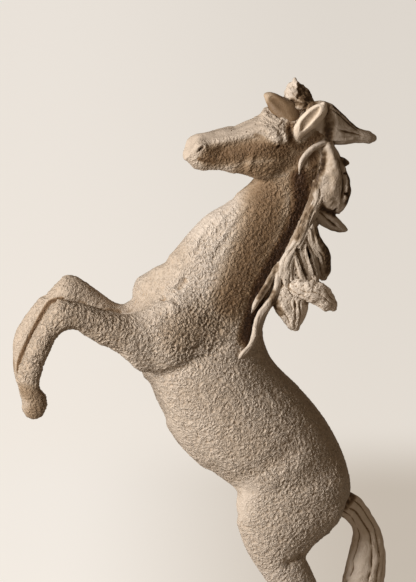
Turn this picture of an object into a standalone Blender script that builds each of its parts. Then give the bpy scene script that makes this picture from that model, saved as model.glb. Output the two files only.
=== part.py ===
"""Rearing horse figurine: cast pieces pinned over steel dowels, with locks of mane laid on the neck.

The horse faces -X with its left side towards -Y. It stands on two hind hooves and the end of its tail.
Tables are in millimetres of a figure DRAWN_HEIGHT tall, measured from the ground; MM scales them to metres.
A body row is (front x, front z, back x, back z, y, half width): the two outline points of one slice.
"""

import math

import bmesh
import bpy
import numpy as np
from mathutils import Matrix, Vector

# Driving sizes in metres
FIGURE_HEIGHT = 0.346
GLUE_GAP = 0.0003
NECK_DOWEL_RADIUS = 0.003
NECK_DOWEL_LENGTH = 0.040
LIMB_DOWEL_RADIUS = 0.002
HEAD_DOWEL_LENGTH = 0.030
FORE_DOWEL_LENGTH = 0.026
HIND_DOWEL_LENGTH = 0.032
TAIL_DOWEL_RADIUS = 0.0015
TAIL_DOWEL_LENGTH = 0.020
DOWEL_CLEARANCE = 0.0003
EYE_RADIUS = 0.0034
EAR_LENGTH = 0.023

# Proportions in drawn millimetres
DRAWN_HEIGHT = 346.0
MM = FIGURE_HEIGHT / DRAWN_HEIGHT
BARREL_HALF = 30.0
NECK_HALF = 20.0
HEAD_HALF = 11.0
FORE_OUT = 15.0
HIND_OUT = 18.0

# Mesh fineness
SKIN_CELL = 0.0013
SKIN_SMOOTHING = 16
SKIN_SWELL = 0.0004
SKIN_TRIANGLES = 5000

TORSO = [
    (34, 117, 66, 115, 0, 0.55 * BARREL_HALF),
    (16, 127, 73.5, 122, 0, 0.88 * BARREL_HALF),
    (-3, 143, 70, 141, 0, 0.97 * BARREL_HALF),
    (-16, 158, 61, 160, 0, BARREL_HALF),
    (-25, 175, 48, 178, 0, 0.97 * BARREL_HALF),
    (-31, 191, 34, 194, 0, 0.90 * BARREL_HALF),
    (-36, 210, 28, 207, 0, 0.83 * BARREL_HALF),
    (-34, 227, 26, 219, 0, 0.73 * BARREL_HALF),
    (-27, 238, 25, 229, 0, 0.57 * BARREL_HALF),
]
NECK = [
    (-31, 226, 26, 210, 0, NECK_HALF),
    (-28.5, 241, 31, 224, 0, 0.90 * NECK_HALF),
    (-20, 257.5, 43, 238, 0, 0.77 * NECK_HALF),
    (-4, 275, 52, 256, 0, 0.67 * NECK_HALF),
    (8.5, 282.5, 60, 272, 0, 0.60 * NECK_HALF),
    (20.5, 289, 64, 290, 0, 0.53 * NECK_HALF),
    (28, 297, 65, 305, 0, 0.48 * NECK_HALF),
]
HEAD = [
    (60, 322, 56, 300, 0, 0.55 * HEAD_HALF),
    (48, 329, 44, 296, 0, 0.78 * HEAD_HALF),
    (35, 329, 26, 296, 0, HEAD_HALF),
    (23, 325, 17, 299, 0, 0.91 * HEAD_HALF),
    (14, 322, 9, 302, 0, 0.76 * HEAD_HALF),
    (4, 320.5, 3, 304, 0, 0.66 * HEAD_HALF),
    (-4, 320, -3, 304, 0, 0.66 * HEAD_HALF),
    (-9, 317.5, -7, 306, 0, 0.55 * HEAD_HALF),
    (-12, 315, -11, 310, 0, 0.36 * HEAD_HALF),
]
LEFT_FORELEG = [
    (-33, 234, -37, 204, -0.87 * FORE_OUT, 9),
    (-48, 235, -49, 213, -0.93 * FORE_OUT, 8.8),
    (-61, 240, -61, 222, -0.97 * FORE_OUT, 7.6),
    (-73, 245, -71, 229.5, -FORE_OUT, 6.8),
    (-85, 248, -78.5, 231.5, -FORE_OUT, 7.4),
    (-90.5, 242.5, -84, 229, -FORE_OUT, 6.6),
    (-98.5, 230, -90, 219, -FORE_OUT, 6),
    (-103.5, 218.5, -92.5, 211, -FORE_OUT, 5.6),
    (-105, 209, -93, 204, -FORE_OUT, 5.6),
    (-103.5, 199.5, -89.5, 196, -FORE_OUT, 6.6),
    (-101, 190, -91, 190.5, -FORE_OUT, 6),
]
RIGHT_FORELEG = [
    (-26, 231, -28, 204, 0.87 * FORE_OUT, 9),
    (-36.5, 225, -37.5, 206, 0.93 * FORE_OUT, 8.8),
    (-52, 236.5, -54.5, 220, 0.97 * FORE_OUT, 7.6),
    (-61, 244, -64, 229.5, FORE_OUT, 6.8),
    (-71.5, 247, -65.5, 232, FORE_OUT, 7.4),
    (-77.5, 242, -70, 230, FORE_OUT, 6.6),
    (-87, 232.5, -78, 222.5, FORE_OUT, 6),
    (-95.5, 220.5, -84.5, 214.5, FORE_OUT, 5.6),
    (-97, 210, -85.5, 206.5, FORE_OUT, 5.6),
    (-96.5, 199.5, -83, 197, FORE_OUT, 6.6),
    (-94.5, 190.5, -83.5, 189.5, FORE_OUT, 6),
]
LEFT_HIND = [
    (34, 158, 60, 156, -0.60 * HIND_OUT, 9),
    (13, 139, 68, 135, -0.80 * HIND_OUT, 14),
    (10, 129, 68, 123, -0.80 * HIND_OUT, 14),
    (10.5, 119, 62.5, 111, -0.80 * HIND_OUT, 13),
    (15, 103, 46, 97, -0.78 * HIND_OUT, 11),
    (20.5, 92, 48, 88, -0.78 * HIND_OUT, 9.6),
    (26, 83, 51.5, 80, -0.78 * HIND_OUT, 8.6),
    (35.5, 67, 56.5, 66, -0.80 * HIND_OUT, 7.4),
    (43, 54, 62.5, 54, -0.83 * HIND_OUT, 7),
    (42.5, 45, 58.5, 37.5, -0.86 * HIND_OUT, 5.8),
    (33, 35.5, 46, 28.5, -0.90 * HIND_OUT, 5),
    (23.5, 25, 38, 19, -0.95 * HIND_OUT, 5.6),
    (15, 15.5, 27.5, 10.5, -HIND_OUT, 5.4),
]
RIGHT_HIND = [
    (36, 158, 60, 156, 0.60 * HIND_OUT, 9),
    (22, 138, 69, 135, 0.80 * HIND_OUT, 14),
    (20.5, 129, 69, 123, 0.80 * HIND_OUT, 14),
    (20.5, 119, 66, 111, 0.80 * HIND_OUT, 13),
    (22, 103, 51, 97, 0.78 * HIND_OUT, 11),
    (25.5, 92, 52, 88, 0.78 * HIND_OUT, 9.6),
    (31, 83, 55.5, 80, 0.78 * HIND_OUT, 8.6),
    (40.5, 67, 60.5, 66, 0.80 * HIND_OUT, 7.4),
    (48, 54, 67, 54, 0.83 * HIND_OUT, 7),
    (47.5, 45, 63.5, 37.5, 0.86 * HIND_OUT, 5.8),
    (38, 35.5, 51, 28.5, 0.90 * HIND_OUT, 5),
    (28.5, 25, 43, 19, 0.95 * HIND_OUT, 5.6),
    (20, 15.5, 32.5, 10.5, HIND_OUT, 5.4),
]
# Hind hoof, measured from the back of the pastern; the sole is cut flat at the ground
HOOF = [(-15.5, 18, 0.5, 12, 0, 5.6), (-20.5, 10, -0.5, 6, 0, 7.2), (-25.5, 0, -1.5, 0, 0, 8.4),
        (-26.5, -4, -1.5, -4, 0, 8.6)]
TAIL = [
    (64, 110, 68, 121, 0, 5),
    (71.5, 106, 77, 116, 0, 6),
    (75, 100.5, 86, 107, 0, 7),
    (76, 96, 90.5, 97, 0, 8),
    (74, 88, 93, 86, 0, 9),
    (72, 79, 93.5, 77.5, 0, 10),
    (70, 71, 92.5, 68.5, 0, 10.5),
    (67, 56.5, 89.5, 54, 0, 10.5),
    (66, 40.5, 87, 38, 0, 10),
    (67, 24, 86, 22, 0, 9),
    (70, 10, 87, 8, 0, 8),
    (72, -3, 88, -4, 0, 7.5),
]
FORELOCK = [
    (39, 328, 58, 328, 0, 5),
    (40, 332, 57, 332, 0, 5.2),
    (42, 337, 54.5, 338, 0, 4.6),
    (44, 342, 50, 342, 0.5, 3),
    (45.2, 345.5, 46.4, 345, 1, 1),
]
# Locks of mane from the crest outwards; those further down the list are trimmed by those before
LOCKS = {
    "poll_lock": [(51, 333, 49, 313, -2, 5), (61, 333, 59, 311, -2, 5.5),
                  (69, 327.5, 66.5, 308, -1, 5.5), (75.5, 318.5, 74.5, 307.5, 0, 4),
                  (82, 313.5, 81, 306, 1, 2.8), (87, 309.5, 86, 305, 2, 1.6)],
    "cheek_lock": [(64, 311.5, 58, 316.5, -6, 3.5), (54.5, 307, 49.5, 313, -10, 3.5),
                   (48, 300, 43, 304.5, -12, 3), (44.5, 293, 42, 295.5, -13, 1.5)],
    "front_lock": [(55, 308, 44.5, 305, -8, 4), (54.5, 294, 43, 294, -10, 4.5),
                   (54, 280.5, 43, 282, -11.5, 5), (50.5, 267, 39, 268.5, -12.5, 5),
                   (43, 255.5, 32.5, 260.5, -13.5, 4.5), (36.5, 248, 29, 254.5, -14, 3.5)],
    "shoulder_strand": [(37, 247.5, 30, 251.5, -13, 3), (31, 238, 24, 241.5, -14.5, 3.2),
                        (25, 230, 20, 233.5, -16, 3), (22.5, 220, 18, 221, -18, 2.6),
                        (18.5, 212.5, 14.5, 216, -20, 2.4), (13.5, 209, 11, 212, -21.5, 1.6),
                        (10, 206.5, 9, 207.5, -22, 0.8)],
    "short_strand": [(31, 250, 26, 255, -14, 2.6), (25.5, 240.5, 20, 244.5, -16, 2.8),
                     (20.5, 234, 17, 237, -17.5, 2.2), (17, 231.5, 16, 233, -18.5, 1)],
    "upper_crest_lock": [(66, 308, 54, 306, -3, 5), (70.5, 298.5, 56, 298, -5, 6),
                         (72.5, 288, 57, 288, -5, 6), (72, 278.5, 58.5, 278, -4, 5),
                         (69, 271.5, 63, 273, -3, 2.5)],
    "crest_spike": [(60.5, 281, 49.5, 277, -4, 5), (64, 272.5, 56, 267.5, -3, 5),
                    (69.5, 266, 64, 261, -1, 3), (74, 261, 72, 259.5, 1, 1)],
    "middle_lock": [(52.5, 279, 43, 275.5, -6, 5), (58, 264.5, 48, 261.5, -5, 5.5),
                    (62, 251, 50, 250, -4, 5), (62.5, 242.5, 53.5, 241.5, -3, 3.5),
                    (61, 238.5, 56.5, 240, -2, 1.8)],
    "lower_lock": [(46, 261.5, 35.5, 255, -7, 5), (55, 245.5, 43.5, 239.5, -5, 5.5),
                   (61.5, 233, 51.5, 228.5, -3, 5), (66, 225, 59.5, 221.5, -2, 3),
                   (66, 220.5, 63, 218.5, -1, 1.5)],
    "back_lock": [(43.5, 254, 33, 251, -9, 5), (48, 239, 29.5, 239, -8, 6),
                  (50.5, 225, 31, 229, -6, 5.5), (49, 218.5, 38.5, 220.5, -5, 4),
                  (46, 214, 43, 214.5, -4, 1.8)],
}
# Muscle masses on both sides: centre x, y, z, radii x, y, z
MASSES = [
    (-22, 13, 235, 8.5, 8, 8.5),
    (-22.5, 12, 221, 22, 13, 21),
    (55, 14, 122, 12, 12, 17),
    (28, 6, 309, 13, 5, 13),
    (32, 8, 321, 6, 4, 4.5),
    (-6, 4, 316, 4.5, 3.5, 5),
    (-2, 0, 305.5, 5.5, 4.5, 4),
]
# An ear from its root to its tip, in shares of its length: station, half width, half depth
EAR = [(0, 0.157, 0.148), (0.25, 0.226, 0.174), (0.5, 0.252, 0.165), (0.78, 0.191, 0.122), (1, 0.044, 0.044)]
EARS = {
    "left_ear": ((43.5, -9.5, 317), (56, -13.5, 337.5), (-0.45, -0.85, 0.15)),
    "right_ear": ((44.5, 8, 316), (36.5, 12.5, 331), (-0.45, 0.85, 0.25)),
}
EYE_CENTRE = (32.5, 9.6, 318.5)

# Parting planes: a point, and the direction of the piece that is parted off
NECK_PLANE = ((-1, 0, 228.5), (0.46, 0, 0.89))
HEAD_PLANE = ((43, 0, 299.5), (-0.2, 0, 0.98))
FORE_PLANE = ((-49, 0, 225), (-0.91, 0, 0.42))
HIND_PLANE = ((34, 0, 91), (0, 0, -1))
GROUND = ((0, 0, 0), (0, 0, 1))
# Ways that the hind and tail dowels run
GASKIN_LINE = (0.4, 0, -0.92)
TAIL_ROOT = ((74, 0, 110), (1, 0, -0.6))

STONE = ((0.45, 0.38, 0.31), 0.85, 0.0)
WASHED_STONE = ((0.38, 0.31, 0.25), 0.8, 0.0)
STEEL = ((0.55, 0.55, 0.56), 0.35, 1.0)


def clear_scene():
    for obj in list(bpy.data.objects):
        bpy.data.objects.remove(obj, do_unlink=True)


def smooth_rows(rows, steps):
    """Rows of numbers resampled along a curve through them, with this many steps in each span."""
    rows = np.asarray(rows, float)
    ends = np.vstack([2 * rows[0] - rows[1], rows, 2 * rows[-1] - rows[-2]])
    out = []
    for p0, p1, p2, p3 in zip(ends, ends[1:], ends[2:], ends[3:]):
        for t in np.arange(steps) / steps:
            out.append(p1 + 0.5 * t * (p2 - p0 + t * (2 * p0 - 5 * p1 + 4 * p2 - p3
                                                      + t * (3 * (p1 - p2) + p3 - p0))))
    out.append(rows[-1])
    return np.array(out)


def round_profile(sides, square=2.0):
    """Ring of (depth, width) shares; a square above 2 flattens the sides."""
    turns = 2 * np.pi * np.arange(sides) / sides
    c, s = np.cos(turns), np.sin(turns)
    return np.sign(c) * np.abs(c) ** (2 / square), np.sign(s) * np.abs(s) ** (2 / square)


def strand_profile(sides, strands, groove):
    """Round ring with grooves between its strands."""
    turns = 2 * np.pi * np.arange(sides) / sides
    share = 1 - groove * (0.5 - 0.5 * np.cos(strands * turns))
    return share * np.cos(turns), share * np.sin(turns)


def hollow_profile(sides, hollow):
    """Ring whose front half is turned inwards, as an ear is."""
    depth, width = round_profile(sides)
    return np.where(depth < 0, -hollow * depth, depth), width


def skin(bm, centres, depths, widths, profile, dome=0.7):
    """Closed tube through rings at the centres, with rounded ends."""
    out = [np.asarray(v, float) for v in (centres, depths, widths)]
    for end, step in ((0, 1), (-1, -2)):
        along = out[0][end] - out[0][step]
        reach = dome * min(np.linalg.norm(out[1][end]), np.linalg.norm(out[2][end]))
        along *= reach / max(np.linalg.norm(along), 1e-9)
        base = [v[end].copy() for v in out]
        for turn in (math.radians(35), math.radians(65)):
            share = math.cos(turn)
            ring = (base[0] + along * math.sin(turn), base[1] * share, base[2] * share)
            out = [np.vstack([[r], v] if end == 0 else [v, [r]]) for r, v in zip(ring, out)]
    rings = [c + np.outer(profile[0], d) + np.outer(profile[1], w) for c, d, w in zip(*out)]
    face = bm.faces.new([bm.verts.new(point) for point in rings[0]])
    first = list(face.verts)
    for ring in rings[1:]:
        face = bmesh.ops.extrude_discrete_faces(bm, faces=[face])["faces"][0]
        for vert, point in zip(face.verts, ring):
            vert.co = point
    bm.faces.new(first[::-1])
    bmesh.ops.triangulate(bm, faces=bm.faces)


def tube(bm, rows, profile, steps=3, dome=0.7):
    """Tube through body rows."""
    rows = smooth_rows(rows, steps) * MM
    fx, fz, bx, bz, y, half = rows.T
    none = np.zeros_like(y)
    centres = np.column_stack([(fx + bx) / 2, y, (fz + bz) / 2])
    depths = np.column_stack([(bx - fx) / 2, none, (bz - fz) / 2])
    skin(bm, centres, depths, np.column_stack([none, half, none]), profile, dome)


def ball(bm, centre, radii, divisions=3):
    matrix = Matrix.Translation(Vector(centre)) @ Matrix.Diagonal((*radii, 1))
    bmesh.ops.create_icosphere(bm, subdivisions=divisions, radius=1, matrix=matrix)


def mesh_from(bm, name):
    bmesh.ops.recalc_face_normals(bm, faces=bm.faces)
    mesh = bpy.data.meshes.new(name)
    bm.to_mesh(mesh)
    bm.free()
    return mesh


def bm_from(mesh):
    bm = bmesh.new()
    bm.from_mesh(mesh)
    return bm


def node(name, mesh):
    obj = bpy.data.objects.new(name, mesh)
    bpy.context.scene.collection.objects.link(obj)
    return obj


def evaluated(mesh, *settings, tools=()):
    """The mesh after modifiers, each given as (type, values); the tools are removed afterwards."""
    obj = node("working", mesh)
    for kind, values in settings:
        modifier = obj.modifiers.new(kind.title(), kind)
        for key, value in values.items():
            setattr(modifier, key, value)
    done = bpy.data.meshes.new_from_object(obj.evaluated_get(bpy.context.evaluated_depsgraph_get()))
    for tool in (obj, *tools):
        bpy.data.objects.remove(tool, do_unlink=True)
    return done


def solid_volume(mesh):
    """Volume of a closed mesh, or nothing for a mesh with a gap in it."""
    bm = bm_from(mesh)
    volume = bm.calc_volume() if all(edge.is_manifold for edge in bm.edges) else 0.0
    bm.free()
    return volume


def cut(mesh, tool_mesh):
    """The mesh less the tool, keeping its largest body; the second solver is for where the first fails."""
    whole = solid_volume(mesh)
    for solver in ("EXACT", "MANIFOLD"):
        tool = node("cutter", tool_mesh)
        settings = {"operation": "DIFFERENCE", "solver": solver, "object": tool}
        done = largest(evaluated(mesh, ("BOOLEAN", settings), tools=[tool]))
        if 0.1 * whole < solid_volume(done) <= 1.001 * whole:
            break
    return done


def bodies(bm):
    """Vertices of each connected body, the largest first."""
    left, found = set(bm.verts), []
    while left:
        body, edge = set(), [left.pop()]
        while edge:
            vert = edge.pop()
            body.add(vert)
            for link in vert.link_edges:
                other = link.other_vert(vert)
                if other in left:
                    left.discard(other)
                    edge.append(other)
        found.append(body)
    return sorted(found, key=len, reverse=True)


def largest(mesh):
    bm = bm_from(mesh)
    for body in bodies(bm)[1:]:
        bmesh.ops.delete(bm, geom=list(body), context="VERTS")
    return mesh_from(bm, mesh.name)


def one_side(mesh, sign):
    """The bodies of the mesh on the left (-1) or right (1) of the figure."""
    bm = bm_from(mesh)
    for body in bodies(bm):
        if sum(vert.co.y for vert in body) * sign < 0:
            bmesh.ops.delete(bm, geom=list(body), context="VERTS")
    return mesh_from(bm, mesh.name)


def parted(mesh, plane, keep, gap=GLUE_GAP):
    """What lies beyond the plane (keep 1) or before it (keep -1), with a flat face half a gap from it."""
    normal = Vector(plane[1]).normalized() * keep
    point = Vector(plane[0]) * MM + normal * gap / 2
    bm = bm_from(mesh)
    bmesh.ops.bisect_plane(bm, geom=bm.verts[:] + bm.edges[:] + bm.faces[:], dist=1e-7,
                           plane_co=point, plane_no=normal, clear_inner=True)
    rims = [edge for edge in bm.edges if edge.is_boundary]
    if rims:
        filled = bmesh.ops.holes_fill(bm, edges=rims, sides=0)["faces"]
        bmesh.ops.triangulate(bm, faces=filled)
    return mesh_from(bm, mesh.name)


def grown(mesh, by):
    """The mesh with its faces moved out."""
    bm = bm_from(mesh)
    bm.normal_update()
    moves = [vert.normal * by * min(vert.calc_shell_factor(), 2.0) for vert in bm.verts]
    for vert, move in zip(bm.verts, moves):
        vert.co += move
    return mesh_from(bm, mesh.name)


def sculpture():
    """The whole bare horse, smoothed into one skin before it is parted."""
    bm = bmesh.new()
    for rows, square in ((TORSO, 2.2), (NECK, 2.0), (HEAD, 2.5), (LEFT_FORELEG, 2.1), (RIGHT_FORELEG, 2.1),
                         (LEFT_HIND, 2.1), (RIGHT_HIND, 2.1)):
        tube(bm, rows, round_profile(24, square), steps=4)
    for rows in (LEFT_HIND, RIGHT_HIND):
        back, out = rows[-1][2], rows[-1][4]
        tube(bm, [(a + back, b, c + back, d, out, w) for a, b, c, d, _, w in HOOF], round_profile(24, 2.2))
    for x, y, z, rx, ry, rz in MASSES:
        for side in (1, -1) if y else (1,):
            ball(bm, Vector((x, y * side, z)) * MM, Vector((rx, ry, rz)) * MM)
    raw = mesh_from(bm, "skin")
    fine = evaluated(raw, ("REMESH", {"mode": "VOXEL", "voxel_size": SKIN_CELL}),
                     ("SMOOTH", {"factor": 0.5, "iterations": SKIN_SMOOTHING}))
    count = sum(len(face.vertices) - 2 for face in fine.polygons)
    light = evaluated(fine, ("DECIMATE", {"ratio": min(1.0, SKIN_TRIANGLES / count)}))
    return largest(grown(light, SKIN_SWELL))


def ear(root, tip, facing, room=None):
    """Pointed leaf with a hollow that faces one way, or the full shape that keeps room for it."""
    root, tip = Vector(root) * MM, Vector(tip) * MM
    along = (tip - root).normalized()
    depth = Vector(facing) - along * along.dot(Vector(facing))
    depth.normalize()
    width = along.cross(depth)
    stations, halves, depths = smooth_rows(EAR, 2).T * EAR_LENGTH
    profile = round_profile(14) if room else hollow_profile(14, 0.45)
    spare = room or 0
    bm = bmesh.new()
    skin(bm, [root + along * s for s in stations], [-depth * (d + spare) for d in depths],
         [width * (w + spare) for w in halves], profile, dome=0.5)
    return mesh_from(bm, "ear")


def lock(rows, strands=7, groove=0.2, room=None):
    """Tapering lock with strands along it, or the plain shape that keeps room for it."""
    bm = bmesh.new()
    if room:
        wider = []
        for fx, fz, bx, bz, y, half in rows:
            grow = room / MM / max(math.hypot(bx - fx, bz - fz) / 2, 1e-9)
            dx, dz = (bx - fx) / 2 * grow, (bz - fz) / 2 * grow
            wider.append((fx - dx, fz - dz, bx + dx, bz + dz, y, half + room / MM))
        tube(bm, wider, round_profile(12), steps=2, dome=0.9)
    else:
        tube(bm, rows, strand_profile(2 * strands, strands, groove), steps=2)
    return mesh_from(bm, "lock")


def rod(point, axis, radius, length, sides=20):
    """Round bar centred on the point."""
    turn = Vector(axis).to_track_quat("Z", "Y").to_matrix().to_4x4()
    bm = bmesh.new()
    bmesh.ops.create_cone(bm, cap_ends=True, segments=sides, radius1=radius, radius2=radius, depth=length,
                          matrix=Matrix.Translation(Vector(point) * MM) @ turn)
    return mesh_from(bm, "rod")


def pin(pieces, name, joined, point, axis, radius, length):
    """A dowel with a socket in both pieces that it joins."""
    socket = length + 2 * DOWEL_CLEARANCE, radius + DOWEL_CLEARANCE
    for piece in joined:
        pieces[piece] = cut(pieces[piece], rod(point, axis, socket[1], socket[0]))
    pieces[name] = rod(point, axis, radius, length)


def box_of(mesh):
    points = np.array([vert.co for vert in mesh.vertices])
    return points.min(axis=0), points.max(axis=0)


def trimmed(mesh, rooms):
    """The mesh less each room that it reaches into, so that a glue line is left between the pieces."""
    for room in rooms:
        (low, high), (bottom, top) = box_of(mesh), box_of(room)
        if (top > low).all() and (bottom < high).all():
            mesh = cut(mesh, room)
    return mesh


def castings(horse):
    """The horse parted at its glue lines."""
    front, lower = parted(horse, NECK_PLANE, 1), parted(horse, NECK_PLANE, -1)
    forelegs = parted(lower, FORE_PLANE, 1)
    hind_legs = parted(parted(lower, HIND_PLANE, 1), GROUND, 1, 0)
    return {
        "torso": largest(parted(parted(lower, FORE_PLANE, -1), HIND_PLANE, -1)),
        "neck": largest(parted(front, HEAD_PLANE, -1)),
        "head": largest(parted(front, HEAD_PLANE, 1)),
        "left_foreleg": largest(one_side(forelegs, -1)),
        "right_foreleg": largest(one_side(forelegs, 1)),
        "left_hind_leg": largest(one_side(hind_legs, -1)),
        "right_hind_leg": largest(one_side(hind_legs, 1)),
    }


def add_eyes(pieces):
    x, y, z = EYE_CENTRE
    for name, side in (("left_eye", -1), ("right_eye", 1)):
        centre = Vector((x, y * side, z)) * MM
        for radius, divisions in ((EYE_RADIUS + GLUE_GAP, 2), (EYE_RADIUS, 2)):
            bm = bmesh.new()
            ball(bm, centre, [radius] * 3, divisions)
            eye = mesh_from(bm, name)
            if radius > EYE_RADIUS:
                pieces["head"] = cut(pieces["head"], eye)
        pieces[name] = eye


def add_hair(pieces, horse):
    """Tail, ears, forelock and mane, each trimmed to what it lies on."""
    rooms = [grown(horse, GLUE_GAP)]
    pieces["tail"] = trimmed(parted(lock(TAIL, 9, 0.14), GROUND, 1, 0), rooms)
    for name, points in EARS.items():
        pieces[name] = trimmed(ear(*points), rooms[:1])
        rooms.append(ear(*points, room=GLUE_GAP))
    for name, rows in {"forelock": FORELOCK, **LOCKS}.items():
        pieces[name] = trimmed(lock(rows), rooms)
        rooms.append(lock(rows, room=GLUE_GAP))


def add_dowels(pieces):
    pin(pieces, "neck_dowel", ("torso", "neck"), *NECK_PLANE, NECK_DOWEL_RADIUS, NECK_DOWEL_LENGTH)
    pin(pieces, "head_dowel", ("neck", "head"), *HEAD_PLANE, LIMB_DOWEL_RADIUS, HEAD_DOWEL_LENGTH)
    fore, hind = FORE_PLANE[0], HIND_PLANE[0]
    for side, out in (("left", -1), ("right", 1)):
        pin(pieces, f"{side}_foreleg_dowel", ("torso", f"{side}_foreleg"),
            (fore[0], 0.94 * FORE_OUT * out, fore[2]), FORE_PLANE[1], LIMB_DOWEL_RADIUS, FORE_DOWEL_LENGTH)
        pin(pieces, f"{side}_hind_dowel", ("torso", f"{side}_hind_leg"),
            (hind[0] + 2 + 2.5 * out, 0.78 * HIND_OUT * out, hind[2]), GASKIN_LINE, LIMB_DOWEL_RADIUS,
            HIND_DOWEL_LENGTH)
    pin(pieces, "tail_dowel", ("torso", "tail"), *TAIL_ROOT, TAIL_DOWEL_RADIUS, TAIL_DOWEL_LENGTH)


def finish_of(name):
    if name.endswith("dowel"):
        return STEEL
    return WASHED_STONE if "lock" in name or "strand" in name or name == "tail" else STONE


def dress(obj):
    """Gives the object its own material and smooth shading."""
    colour, roughness, metallic = finish_of(obj.name)
    material = bpy.data.materials.new(obj.name)
    material.use_nodes = True
    shader = material.node_tree.nodes["Principled BSDF"]
    shader.inputs["Base Color"].default_value = (*colour, 1)
    shader.inputs["Roughness"].default_value = roughness
    shader.inputs["Metallic"].default_value = metallic
    material.diffuse_color = (*colour, 1)
    obj.data.materials.clear()
    obj.data.materials.append(material)
    obj.data.shade_smooth()
    obj.data.set_sharp_from_angle(angle=math.radians(50))


def main():
    clear_scene()
    horse = sculpture()
    pieces = castings(horse)
    add_eyes(pieces)
    add_hair(pieces, horse)
    add_dowels(pieces)
    points = np.array([vert.co for mesh in pieces.values() for vert in mesh.vertices])
    middle = (points.max(axis=0) + points.min(axis=0)) / 2
    figure = bpy.data.objects.new("figure", None)
    figure.location = (-middle[0], -middle[1], 0)
    bpy.context.scene.collection.objects.link(figure)
    for name, mesh in pieces.items():
        mesh.name = name
        obj = node(name, mesh)
        obj.parent = figure
        dress(obj)


main()
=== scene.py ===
"""Looks of the rearing horse figurine.

The frame's castings are fused into one clay skin, modelled with a few tools, stippled, glazed brown with
painted shade and parted again along the castings. Hair is laid on in locks, each a bundle of rolled strands.
Places on the photograph are pixels of its frame, which PhotoView turns into points; sizes are in metres.
"""

import logging
import math
from collections.abc import Iterator, Sequence
from dataclasses import dataclass, field
from enum import Enum
from functools import cached_property

import bmesh
import bpy
import numpy as np
from mathutils import Matrix, Vector, noise
from mathutils.bvhtree import BVHTree


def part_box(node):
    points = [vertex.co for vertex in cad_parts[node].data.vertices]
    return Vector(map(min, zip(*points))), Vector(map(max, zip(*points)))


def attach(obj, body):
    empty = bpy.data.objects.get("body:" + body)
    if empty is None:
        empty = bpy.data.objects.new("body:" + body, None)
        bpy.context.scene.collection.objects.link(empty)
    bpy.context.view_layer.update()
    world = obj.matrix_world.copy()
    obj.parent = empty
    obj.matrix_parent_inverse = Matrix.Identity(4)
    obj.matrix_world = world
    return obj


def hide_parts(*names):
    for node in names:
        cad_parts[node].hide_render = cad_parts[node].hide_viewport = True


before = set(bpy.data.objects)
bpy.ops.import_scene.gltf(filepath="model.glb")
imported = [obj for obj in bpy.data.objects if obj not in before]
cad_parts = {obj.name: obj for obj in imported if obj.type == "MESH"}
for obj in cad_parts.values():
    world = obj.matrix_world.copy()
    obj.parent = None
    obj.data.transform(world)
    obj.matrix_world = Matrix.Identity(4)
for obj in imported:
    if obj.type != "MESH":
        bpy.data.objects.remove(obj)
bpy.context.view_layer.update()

MM = 0.001
# Without a seed, noise_vector takes its offsets from the clock.
NOISE_SEED = 1
BODY = "root"
LOG = logging.getLogger("horse")

Pixel = tuple[float, float]
Colour = tuple[float, float, float]
Socket = bpy.types.NodeSocket


class Slot(Enum):
    """Material slots of the record."""

    ROUGH = "rough_stone"
    SMOOTH = "smooth_stone"


class Tool(Enum):
    """Modelling tools, by how a stroke falls off from its path."""

    ROLL = "round bump or hollow"
    SCORE = "sharp line"


@dataclass(frozen=True)
class PhotoView:
    """The photograph's frame, and the long lens that sees it.

    The middle of the frame lies a little in front of and above the middle of the neck's dowel.
    """

    width: int = 416
    height: int = 582
    azimuth: float = math.radians(-18)
    elevation: float = math.radians(22)
    pixel: float = 0.5 * MM
    over_dowel: tuple[float, float, float] = (1.0 * MM, 0.0, 8.5 * MM)
    distance: float = 6.0
    sensor: float = 36.0

    @cached_property
    def aim(self) -> Vector:
        """Point at the middle of the frame."""
        low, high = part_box("neck_dowel")
        return (low + high) / 2 + Vector(self.over_dowel)

    @cached_property
    def back(self) -> Vector:
        """Direction from the figure to the lens."""
        flat = math.cos(self.elevation)
        across, away = math.sin(self.azimuth), -math.cos(self.azimuth)
        return Vector((across * flat, away * flat, math.sin(self.elevation)))

    @cached_property
    def right(self) -> Vector:
        """Direction across the frame."""
        return Vector((math.cos(self.azimuth), math.sin(self.azimuth), 0))

    @cached_property
    def up(self) -> Vector:
        """Direction up the frame."""
        return self.back.cross(self.right)

    def ray(self, x: float, y: float) -> tuple[Vector, Vector]:
        """The line of sight through a pixel.

        Args:
            x: Pixel across the frame.
            y: Pixel down the frame.

        Returns:
            The lens's place and the direction of the line.
        """
        lens = self.aim + self.back * self.distance
        across = self.right * (x - self.width / 2) * self.pixel
        return lens, (self.aim + across - self.up * (y - self.height / 2) * self.pixel - lens).normalized()

    def at(self, x: float, y: float, depth: float) -> Vector:
        """The point that a pixel shows on an upright plane along the figure.

        Args:
            x: Pixel across the frame.
            y: Pixel down the frame.
            depth: Y of the plane, in metres.

        Returns:
            The point in the frame of the figure.
        """
        lens, way = self.ray(x, y)
        return lens + way * ((depth - lens.y) / way.y)

    def pixels(self, points: np.ndarray) -> np.ndarray:
        """Where points show on the photograph.

        Args:
            points: Points in the frame of the figure.

        Returns:
            A pixel for each point.
        """
        offset = points - np.array(self.aim)
        near = self.distance / (self.distance - offset @ np.array(self.back)) / self.pixel
        return np.column_stack([self.width / 2 + near * (offset @ np.array(self.right)),
                                self.height / 2 - near * (offset @ np.array(self.up))])

    def add_camera(self) -> bpy.types.Object:
        """Makes the camera and gives it to the scene."""
        data = bpy.data.cameras.new("camera")
        data.sensor_width = self.sensor
        data.lens = self.sensor * self.distance / (self.height * self.pixel)
        data.clip_end = 4 * self.distance
        camera = bpy.data.objects.new("camera", data)
        turn = Matrix((self.right, self.up, self.back)).transposed().to_4x4()
        camera.matrix_world = Matrix.Translation(self.aim + self.back * self.distance) @ turn
        bpy.context.scene.collection.objects.link(camera)
        bpy.context.scene.camera = camera
        return camera


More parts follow.
